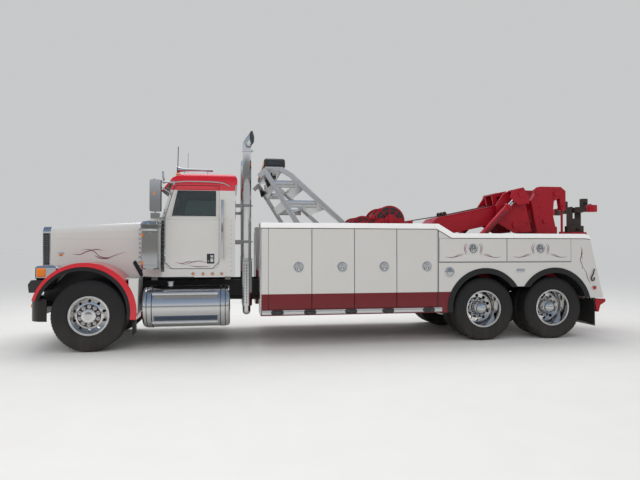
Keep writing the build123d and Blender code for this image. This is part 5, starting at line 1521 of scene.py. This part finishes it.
class TRUCK_OT_recovery(bpy.types.Operator):
    """Ropes, sheaves, pins, edge strips and pipes of the boom, winches and underlift"""

    bl_idname = "truck.recovery"
    bl_label = "Recovery gear"

    def execute(self, context):
        rope = context.scene.truck_trim.rope_radius
        self.winches(rope)
        self.boom()
        self.lines(rope)
        self.head()
        self.cylinders()
        self.frame_trim()
        self.underlift()
        return {"FINISHED"}

    def boom(self):
        """Edge strips, pins and guide rollers of the boom."""
        with piece("boom_trim", "gear", "boom") as bm:
            for sign in (-1, 1):
                out = outward(sign)
                for up in (0.305, -0.028):
                    tube(bm, boom_at(0.43, sign * 0.3, up), boom_at(1.44, sign * 0.3, up), 0.012, 10)
                tube(bm, boom_at(0.86, sign * 0.301, -0.02), boom_at(0.98, sign * 0.301, 0.29), 0.009, 10)
                lathe(bm, at(BOOM_PIVOT[0], sign * 0.3, BOOM_PIVOT[1]), out,
                      ((0.0, 0.09), (0.05, 0.086), (0.062, 0.074), (0.062, 0.0)), 32)
                lathe(bm, at(LIFT_EYE[0], sign * 0.606, LIFT_EYE[1]), out,
                      ((0.0, 0.07), (0.012, 0.068), (0.018, 0.056), (0.018, 0.0)), 28)
                low_pin = ((0, 0.06), (0.02, 0.056), (0.024, 0.0))
                lathe(bm, at(7.6, sign * 0.421, 2.02), out, low_pin, 24)
                bolts(bm, [at(x, sign * 0.421, z) for x, z in HEAD_PLATE_BOLTS], out, 0.016, 0.014)
        with piece("boom_rollers", "worn", "boom") as bm:
            tube(bm, boom_at(0.46, -0.15, 0.361), boom_at(0.46, 0.15, 0.361), 0.025, 20)
            for y in (-0.15, 0.0, 0.15):
                tube(bm, boom_at(0.46, y - 0.008, 0.355), boom_at(0.46, y + 0.008, 0.355), 0.042, 24)
        with piece("line_guide", "gear") as bm:
            tube(bm, at(5.49, -0.425, 2.05), at(5.49, 0.425, 2.05), 0.026, 20)
            for y in (-0.422, 0.422):
                box(bm, (5.44, 5.54), about(y, 0.012), (1.92, 2.09), 0.01)

    def head(self):
        """Pins, bolts and sheave rims of the boom's head."""
        with piece("head_trim", "gear", "boom_extension") as bm:
            for sign in (-1, 1):
                lathe(bm, boom_at(SHEAVE[0], sign * 0.235, SHEAVE[1]), outward(sign),
                      ((0.0, 0.062), (0.014, 0.06), (0.02, 0.048), (0.02, 0.0)), 28)
                corners = ((1.93, 0.1), (2.08, 0.1), (1.93, 0.42))
                heads = [boom_at(x, sign * 0.235, up) for x, up in corners]
                bolts(bm, heads, outward(sign), 0.015, 0.012)
        with piece("sheave_rims", "worn", "boom_extension") as bm:
            for y in (-0.1, 0.1):
                lathe(bm, boom_at(SHEAVE[0], y, SHEAVE[1]), ACROSS, SHEAVE_RIM, 44)

    def frame_trim(self):
        """Pins and bolts of the mast and the boom's base, and the pipes along the deck."""
        with piece("frame_trim", "gear") as bm:
            for sign in (-1, 1):
                out = outward(sign)
                for x, z, radius in ((8.1, 2.69, 0.075), (8.49, 2.65, 0.055), (8.24, 2.1, 0.045),
                                     (8.3, 1.5, 0.05)):
                    pin = ((0, radius), (0.02, radius), (0.028, radius * 0.8), (0.028, 0.0))
                    lathe(bm, at(x, sign * 0.4, z), out, pin, 28)
                bolts(bm, [at(x, sign * 0.4, z) for x, z in MAST_BOLTS], out, 0.016, 0.014)
                bolts(bm, [at(x, sign * 0.46, z) for x, z in BASE_BOLTS], out, 0.016, 0.014)
                lathe(bm, at(BOOM_PIVOT[0], sign * 0.46, BOOM_PIVOT[1]), out,
                      ((0, 0.08), (0.02, 0.078), (0.028, 0.06), (0.028, 0.0)), 28)
                lathe(bm, at(LIFT_FOOT[0], sign * 0.592, LIFT_FOOT[1]), out,
                      ((0, 0.046), (0.012, 0.044), (0.014, 0.0)), 24)
                for x, z in ((8.1, 2.69), (8.49, 2.65), (8.3, 2.3)):
                    tube(bm, at(x, sign * 0.262, z), at(x, sign * 0.292, z), 0.04, 24, soft=0.006)
        with piece("hydraulic_pipes", "chassis") as bm:
            for y in (-0.28, -0.24, 0.24, 0.28):
                tube(bm, at(6.7, y, 1.215), at(8.00, y, 1.215), 0.011, 8)
            for x in (6.75, 7.3, 7.9):
                box(bm, about(x, 0.02), (-0.3, -0.22), (1.198, 1.232), 0.003)
                box(bm, about(x, 0.02), (0.22, 0.3), (1.198, 1.232), 0.003)

    def underlift(self):
        """Edge strips, pins and bolts of the carriage and stinger, and the crossbar's ends."""
        with piece("stinger_trim", "gear", "stinger") as bm:
            for sign in (-1, 1):
                for x in (9.01, 9.29):
                    tube(bm, at(x, sign * 0.14, 0.72), at(x, sign * 0.14, 1.76), 0.01, 8)
                heads = [at(x, sign * 0.155, z) for x in (9.03, 9.27) for z in (1.81, 1.87)]
                bolts(bm, heads, outward(sign), 0.014, 0.012)
                pin = ((0, 0.04), (0.012, 0.038), (0.014, 0))
                lathe(bm, at(STINGER, sign * 0.14, 1.25), outward(sign), pin, 24)
        with piece("stinger_lock", "worn", "stinger") as bm:
            box(bm, (9.335, 9.372), (-0.09, 0.09), (1.79, 1.88), 0.008)
            tube(bm, at(STINGER, -0.235, 1.955), at(STINGER, -0.105, 1.955), 0.024, 16, soft=0.004)
            box(bm, (9.02, 9.3), (-0.115, -0.098), (1.9, 2.03), 0.006)
            box(bm, (9.02, 9.3), (0.098, 0.115), (1.9, 2.03), 0.006)
        with piece("carriage_trim", "gear", "underlift_carriage") as bm:
            for sign in (-1, 1):
                lathe(bm, at(9.02, sign * 0.2, 0.65), outward(sign),
                      ((0, 0.075), (0.016, 0.072), (0.022, 0.058), (0.022, 0.0)), 28)
                heads = [at(x, sign * 0.2, z) for x, z in ((8.66, 1.08), (8.66, 0.6), (8.85, 0.9))]
                bolts(bm, heads, outward(sign), 0.016, 0.012)
                for z in (1.00, 1.4, 1.8):
                    bolts(bm, [at(8.59, sign * 0.24, z)], REARWARD, 0.018, 0.014)
                gland = ((-0.03, 0.046), (-0.024, 0.052), (0.014, 0.052), (0.018, 0.046))
                lathe(bm, at(8.65, sign * 0.345, 1.88), UP, gland, 28)
        with piece("crossbar_trim", "worn", "crossbar") as bm:
            for y in (-0.32, 0.32):
                for z in (2.42, 2.53):
                    tube(bm, at(9.09, y, z), at(9.21, y, z), 0.012, 12)
                tube(bm, at(STINGER, y - 0.075, 2.475), at(STINGER, y + 0.075, 2.475), 0.014, 14)
                dome(bm, at(STINGER, y - 0.078, 2.475), 0.02)
            for y in (-0.47, -0.17, 0.17, 0.47):
                box(bm, (9.074, 9.226), about(y, 0.012), (2.292, 2.408), 0.004)
            lathe(bm, at(9.262, 0, 2.35), REARWARD, ((0, 0.044), (0.02, 0.042), (0.024, 0.0)), 24)
            for sign in (-1, 1):
                tube(bm, at(STINGER, sign * 0.47, 2.43), at(STINGER, sign * 0.545, 2.43), 0.012, 12)
        with piece("crossbar_ends", "gear", "crossbar") as bm:
            for sign in (-1, 1):
                box(bm, (9.066, 9.234), flank(sign, 0.506, 0.614), (2.281, 2.419), 0.01)
                cap = at(STINGER, sign * 0.612, 2.35)
                tube(bm, cap, cap + outward(sign) * 0.016, 0.04, 24, soft=0.005)

    def winches(self, rope):
        """Wound rope, flanges, spokes, motors and pipes of the winches."""
        with piece("rope_coils", "drum") as bm:
            for start, end in DRUM_SPANS:
                for x, z, _, wound in WINCHES:
                    rope_coil(bm, x, z, start, end, wound, rope)
        with piece("winch_trim", "gear") as bm:
            for x, z, flange, _ in WINCHES:
                for y in (-0.4, -0.38, 0.4, 0.38):
                    bead = ((-0.006, flange), (0, flange + 0.007), (0.006, flange))
                    lathe(bm, at(x, y, z), ACROSS, bead, 48)
                for sign in (-1, 1):
                    out = outward(sign)
                    lathe(bm, at(x, sign * 0.46, z), out, MOTOR_CAP, 32)
                    heads = [at(dx, sign * 0.482, dz) for dx, dz in arc((x, z), 0.095, 0, 300, 5)]
                    bolts(bm, heads, out, 0.012, 0.012)
                    hub = at(x, sign * 0.404, z)
                    for i in range(9):
                        turn = 0.2 + 2 * pi * i / 9
                        spoke = Vector((cos(turn), 0, sin(turn)))
                        tube(bm, hub + spoke * 0.1, hub + spoke * (flange - 0.02), 0.012, 10)
                    rim = flange * 0.66
                    lathe(bm, hub, out, ((-0.004, rim), (0.004, rim + 0.01), (-0.004, rim + 0.02)), 48)
            for y in (-0.3, 0.0, 0.3):
                box(bm, (4.3, 4.34), about(y, 0.04), (1.6, 2.02), 0.01)
            for y in (-0.38, 0.38):
                box(bm, (4.72, 4.8), about(y, 0.05), (2.1, 2.19), 0.012)
        with piece("winch_recesses", "chassis", slot="worn_steel") as bm:
            for x, z, flange, _ in WINCHES:
                for sign in (-1, 1):
                    far = flange - 0.022
                    dish = ((0.0, 0.095), (0.005, 0.095), (0.005, far), (0.0, far))
                    lathe(bm, at(x, sign * 0.398, z), outward(sign), dish, 48)
        with piece("winch_motors", "worn") as bm:
            for y in (-0.26, 0.26):
                tube(bm, at(4.9, y, 1.8), at(4.74, y, 1.8), 0.085, 24, soft=0.012)
                tube(bm, at(4.74, y, 1.8), at(4.64, y, 1.7), 0.045, 16, soft=0.008)
            for y in (-0.2, -0.08, 0.08, 0.2):
                tube(bm, at(4.3, y, 1.3), at(4.66, y, 1.3), 0.018, 10)
                tube(bm, at(4.66, y, 1.3), at(4.76, y, 1.74), 0.018, 10)

    def lines(self, rope):
        """The two lines along the boom and round the sheaves, with their hooks."""
        for side, y in LINES:
            with piece(f"winch_line_{side}", "rope", None) as bm:
                rise = row(at(5.5, y, 2.086), boom_at(0.46, y, LINE_UP), 12)
                path = [at(5.215, y, 1.87), at(5.482, y, 2.084)] + rise
                pipe(bm, path, rope, 10)
            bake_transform(bpy.data.objects[f"winch_line_{side}"])
            with piece(f"boom_line_{side}", "rope", "boom") as bm:
                tube(bm, boom_at(0.45, y, LINE_UP), boom_at(1.84, y, LINE_UP), rope, 12)
            with piece(f"head_line_{side}", "rope", "boom_extension") as bm:
                tube(bm, boom_at(1.82, y, LINE_UP), boom_at(1.935, y, 0.372), rope, 12)
                wrap = [boom_at(x, y, up) for x, up in arc(SHEAVE, ROPE_WRAP, 106, 8, 7)]
                pipe(bm, wrap, rope, 10)
                top = wrap[-1] - UP * ROPE_DROP
                tube(bm, wrap[-1], top, rope, 10)
            with piece(f"line_hook_{side}", "worn", "boom_extension") as bm:
                base = top - UP * 0.075
                tube(bm, top + UP * 0.02, base, 0.02, 16, 0.015, soft=0.003)
                bow = flow([base + Vector(p) for p in HOOK_BOW])
                pipe(bm, bow, 0.014, 10)

    def cylinders(self):
        """Collars, ports and pipes of the lift cylinders."""
        for side, sign in SIDES:
            run = (at(LIFT_EYE[0], 0, LIFT_EYE[1]) - at(LIFT_FOOT[0], 0, LIFT_FOOT[1])).normalized()
            foot = at(LIFT_FOOT[0], sign * 0.53, LIFT_FOOT[1])
            out = outward(sign)
            with piece(f"lift_barrel_trim_{side}", "gear", "lift_barrels") as bm:
                gland = ((-0.024, 0.066), (-0.018, 0.074), (0.03, 0.074), (0.036, 0.066))
                lathe(bm, foot + run * 1.4, run, gland, 36)
                collar = ((-0.016, 0.06), (-0.01, 0.068), (0.01, 0.068), (0.016, 0.06))
                lathe(bm, foot + run * 0.12, run, collar, 36)
                port = foot + run * 1.3
                tube(bm, port + out * 0.042, port + out * 0.097, 0.018, 12)
            with piece(f"lift_pipe_{side}", "chassis", "lift_barrels") as bm:
                low = foot + run * 0.2 + out * 0.082
                tube(bm, low, port + out * 0.082, 0.01, 10)
                tube(bm, low, foot + run * 0.16 + out * 0.0492, 0.01, 10)


# Tail and chassis

TAIL_LAMPS = (0.56, 0.72, 0.88)  # widths
FRAME_BOLTS = (0.86, 1.05, 1.65, 1.95, 2.5, 3.6, 4.7, 5.9, 7.15, 7.3)


class TRUCK_OT_tail(bpy.types.Operator):
    """Tail lamps, plate, flap trims, frame bolts, air tanks and axle trim"""

    bl_idname = "truck.tail"
    bl_label = "Tail"

    def execute(self, context):
        self.lamps()
        self.chassis()
        return {"FINISHED"}

    def lamps(self):
        """Tail lamps, and a blank plate in its holder."""
        with piece("tail_lamp_rims", "chrome") as bm:
            for sign in (-1, 1):
                for y in TAIL_LAMPS:
                    lathe(bm, at(8.768, sign * y, 0.61), REARWARD,
                          ((0, 0.046), (0.008, 0.046), (0.01, 0.04), (0.004, 0.038), (0.004, 0)), 28)
        with piece("tail_lamps", "red_lens") as bm:
            for sign in (-1, 1):
                for y in TAIL_LAMPS:
                    dome(bm, at(8.773, sign * y, 0.61), 0.037, (0.35, 1, 1))
        with piece("plate_holder", "plastic") as bm:
            box(bm, (8.77, 8.777), (-1.12, -0.96), (0.565, 0.655), 0.003)
        with piece("blank_plate", "white") as bm:
            box(bm, (8.777, 8.78), (-1.11, -0.97), (0.572, 0.648), 0.001)

    def chassis(self):
        """Flap trims, frame bolts, air tanks and axle trim."""
        with piece("flap_trim", "polished") as bm:
            for sign in (-1, 1):
                for heights in ((0.625, 0.665), (0.18, 0.215)):
                    box(bm, (8.685, 8.707), flank(sign, 0.68, 1.225), heights, 0.004)
                bolts(bm, [at(8.685, sign * y, 0.645) for y in (0.74, 0.94, 1.16)], -REARWARD, 0.01, 0.008)
        with piece("frame_bolts", "chassis") as bm:
            for sign in (-1, 1):
                for x in FRAME_BOLTS:
                    heads = [at(x + dx, sign * 0.43, z) for dx in (-0.04, 0.04) for z in (0.83, 0.93)]
                    bolts(bm, heads, outward(sign), 0.013, 0.01)
        with piece("air_tanks", "polished") as bm:
            for y in (-0.22, 0.22):
                tube(bm, at(3.00, y, 0.64), at(3.95, y, 0.64), 0.125, 32, soft=0.03)
                for x in (3.15, 3.8):
                    box(bm, about(x, 0.02), about(y, 0.13), (0.74, 0.8), 0.004)
        with piece("axle_trim", "chassis") as bm:
            for x in REAR_STATIONS:
                housing = ((0, 0.15), (0.04, 0.14), (0.085, 0.09), (0.095, 0.0))
                lathe(bm, at(x + 0.14, 0, REAR_HUB), REARWARD, housing, 32)
                for sign in (-1, 1):
                    chamber = at(x - 0.02, sign * 0.36, REAR_HUB + 0.02)
                    tube(bm, at(x - 0.16, sign * 0.36, REAR_HUB + 0.1), chamber, 0.06, 20, soft=0.008)
            for sign in (-1, 1):
                for x in (-0.07, 0.07):
                    for y in (0.375, 0.465):
                        tube(bm, at(x, sign * y, 0.395), at(x, sign * y, 0.6), 0.011, 8)
                tube(bm, at(-0.05, sign * 0.33, 0.56), at(-0.1, sign * 0.4, 0.8), 0.028, 14)


# Stage

LENS = 29.93
SENSOR = 36.0
EYE = (-1.978, -9.968, 1.576 + DATUM)
GAZE = (90.86, 0, -9.4)  # degrees
FLOOR_COLOURS = ((0.77, 0.75, 0.71), (0.82, 0.8, 0.765))
BACKDROP = (0.575, 0.58, 0.585)
# Height and colour of each step of the studio's light, as it falls on paint and as metal mirrors it
SOFT_LIGHT = ((0.0, (0.8, 0.79, 0.77)), (0.12, (0.79, 0.81, 0.82)), (0.75, (0.72, 0.745, 0.785)))
MIRRORED_LIGHT = ((0.0, (0.27, 0.26, 0.24)), (0.09, (0.3, 0.31, 0.32)), (0.15, (0.82, 0.85, 0.88)),
                  (0.36, (0.42, 0.5, 0.62)), (0.85, (0.2, 0.27, 0.4)))
LAMPS = (  # name, watts, size, place, aim, whether metal mirrors it
    ("overhead", 520, (12, 6), (-0.5, 3.0, 9.0), (0, 0, 0.8), True),
    ("near_fill", 260, (10, 4), (-4.0, -11.0, 6.0), (0, 0, 1.2), False),
)


class TRUCK_OT_stage(bpy.types.Operator):
    """Floor, lamps, world and the camera of the photograph"""

    bl_idname = "truck.stage"
    bl_label = "Stage"

    def execute(self, context):
        context.scene.view_settings.view_transform = "Standard"
        self.camera(context)
        self.floor(context)
        self.world(context)
        self.lamps(context)
        return {"FINISHED"}

    def camera(self, context):
        """The camera that was fitted to the photograph."""
        camera = bpy.data.objects.new("camera", bpy.data.cameras.new("camera"))
        camera.data.lens = LENS
        camera.data.sensor_width = SENSOR
        camera.data.clip_end = 400
        camera.location = EYE
        camera.rotation_euler = [radians(turn) for turn in GAZE]
        context.collection.objects.link(camera)
        context.scene.camera = camera

    def floor(self, context):
        """A wide pale floor."""
        bm = bmesh.new()
        bmesh.ops.create_circle(bm, cap_ends=True, segments=96, radius=140)
        mesh = bpy.data.meshes.new("floor")
        bm.to_mesh(mesh)
        bm.free()
        floor = bpy.data.objects.new("floor", mesh)
        context.collection.objects.link(floor)
        ground = bpy.data.materials.new("pale_floor")
        ground.use_nodes = True
        shader = ground.node_tree.nodes["Principled BSDF"]
        shader.inputs["Roughness"].default_value = 0.9
        speck = object_noise(ground.node_tree, 2.0, 6)
        pale = tint(ground.node_tree, speck, *FLOOR_COLOURS)
        ground.node_tree.links.new(pale, shader.inputs["Base Color"])
        mesh.materials.append(ground)

    def world(self, context):
        """Soft light from all round, and a plain backdrop."""
        world = bpy.data.worlds.new("studio")
        context.scene.world = world
        world.use_nodes = True
        tree = world.node_tree
        background = tree.nodes["Background"]
        place = tree.nodes.new("ShaderNodeTexCoord")
        split = tree.nodes.new("ShaderNodeSeparateXYZ")
        tree.links.new(place.outputs["Generated"], split.inputs[0])
        ramps = []
        for stops in (SOFT_LIGHT, MIRRORED_LIGHT):
            ramp = tree.nodes.new("ShaderNodeValToRGB")
            tree.links.new(split.outputs["Z"], ramp.inputs["Fac"])
            spare = ramp.color_ramp.elements
            spare.remove(spare[1])
            spare[0].position, spare[0].color = stops[0][0], (*stops[0][1], 1)
            for position, colour in stops[1:]:
                spare.new(position).color = (*colour, 1)
            ramps.append(ramp.outputs["Color"])
        path = tree.nodes.new("ShaderNodeLightPath")
        lit = tint(tree, path.outputs["Is Glossy Ray"], *ramps)
        seen = tint(tree, path.outputs["Is Camera Ray"], lit, BACKDROP)
        tree.links.new(seen, background.inputs["Color"])
        background.inputs["Strength"].default_value = 1.0

    def lamps(self, context):
        """Area lamps overhead and by the camera."""
        for name, energy, size, place, aim, mirrored in LAMPS:
            lamp = bpy.data.lights.new(name, "AREA")
            lamp.shape = "RECTANGLE"
            lamp.size, lamp.size_y = size
            lamp.energy = energy
            obj = bpy.data.objects.new(name, lamp)
            obj.location = place
            obj.visible_glossy = mirrored
            obj.rotation_euler = (Vector(aim) - Vector(place)).to_track_quat("-Z", "Y").to_euler()
            context.collection.objects.link(obj)


class TRUCK_PT_panel(bpy.types.Panel):
    """Lists the truck's sizes and the steps that dress it"""

    bl_idname = "TRUCK_PT_panel"
    bl_label = "Tow truck"
    bl_space_type = "VIEW_3D"
    bl_region_type = "UI"
    bl_category = "Truck"

    def draw(self, context):
        layout = self.layout
        for group in (context.scene.truck_paint, context.scene.truck_trim, context.scene.truck_tread):
            for label in group.__annotations__:
                layout.prop(group, label)
        for step in STEPS:
            layout.operator(step.bl_idname)


GROUP_CLASSES = (TruckPaint, TruckTrim, TruckTread)
STEPS = (
    TRUCK_OT_stage, TRUCK_OT_paint, TRUCK_OT_tyres, TRUCK_OT_wheels, TRUCK_OT_front, TRUCK_OT_cab,
    TRUCK_OT_sides, TRUCK_OT_body, TRUCK_OT_pylon, TRUCK_OT_recovery, TRUCK_OT_tail,
)


def register():
    """Registers the classes and hangs the sizes and colours on the scene."""
    for cls in (*GROUP_CLASSES, *STEPS, TRUCK_PT_panel):
        bpy.utils.register_class(cls)
    bpy.types.Scene.truck_paint = bpy.props.PointerProperty(type=TruckPaint)
    bpy.types.Scene.truck_trim = bpy.props.PointerProperty(type=TruckTrim)
    bpy.types.Scene.truck_tread = bpy.props.PointerProperty(type=TruckTread)


def unregister():
    """Takes all of it away again."""
    del bpy.types.Scene.truck_tread
    del bpy.types.Scene.truck_trim
    del bpy.types.Scene.truck_paint
    for cls in reversed((*GROUP_CLASSES, *STEPS, TRUCK_PT_panel)):
        bpy.utils.unregister_class(cls)


def main():
    """Dresses the frame step by step."""
    register()
    for step in STEPS:
        group, name = step.bl_idname.split(".")
        getattr(getattr(bpy.ops, group), name)()


if __name__ == "__main__":
    main()
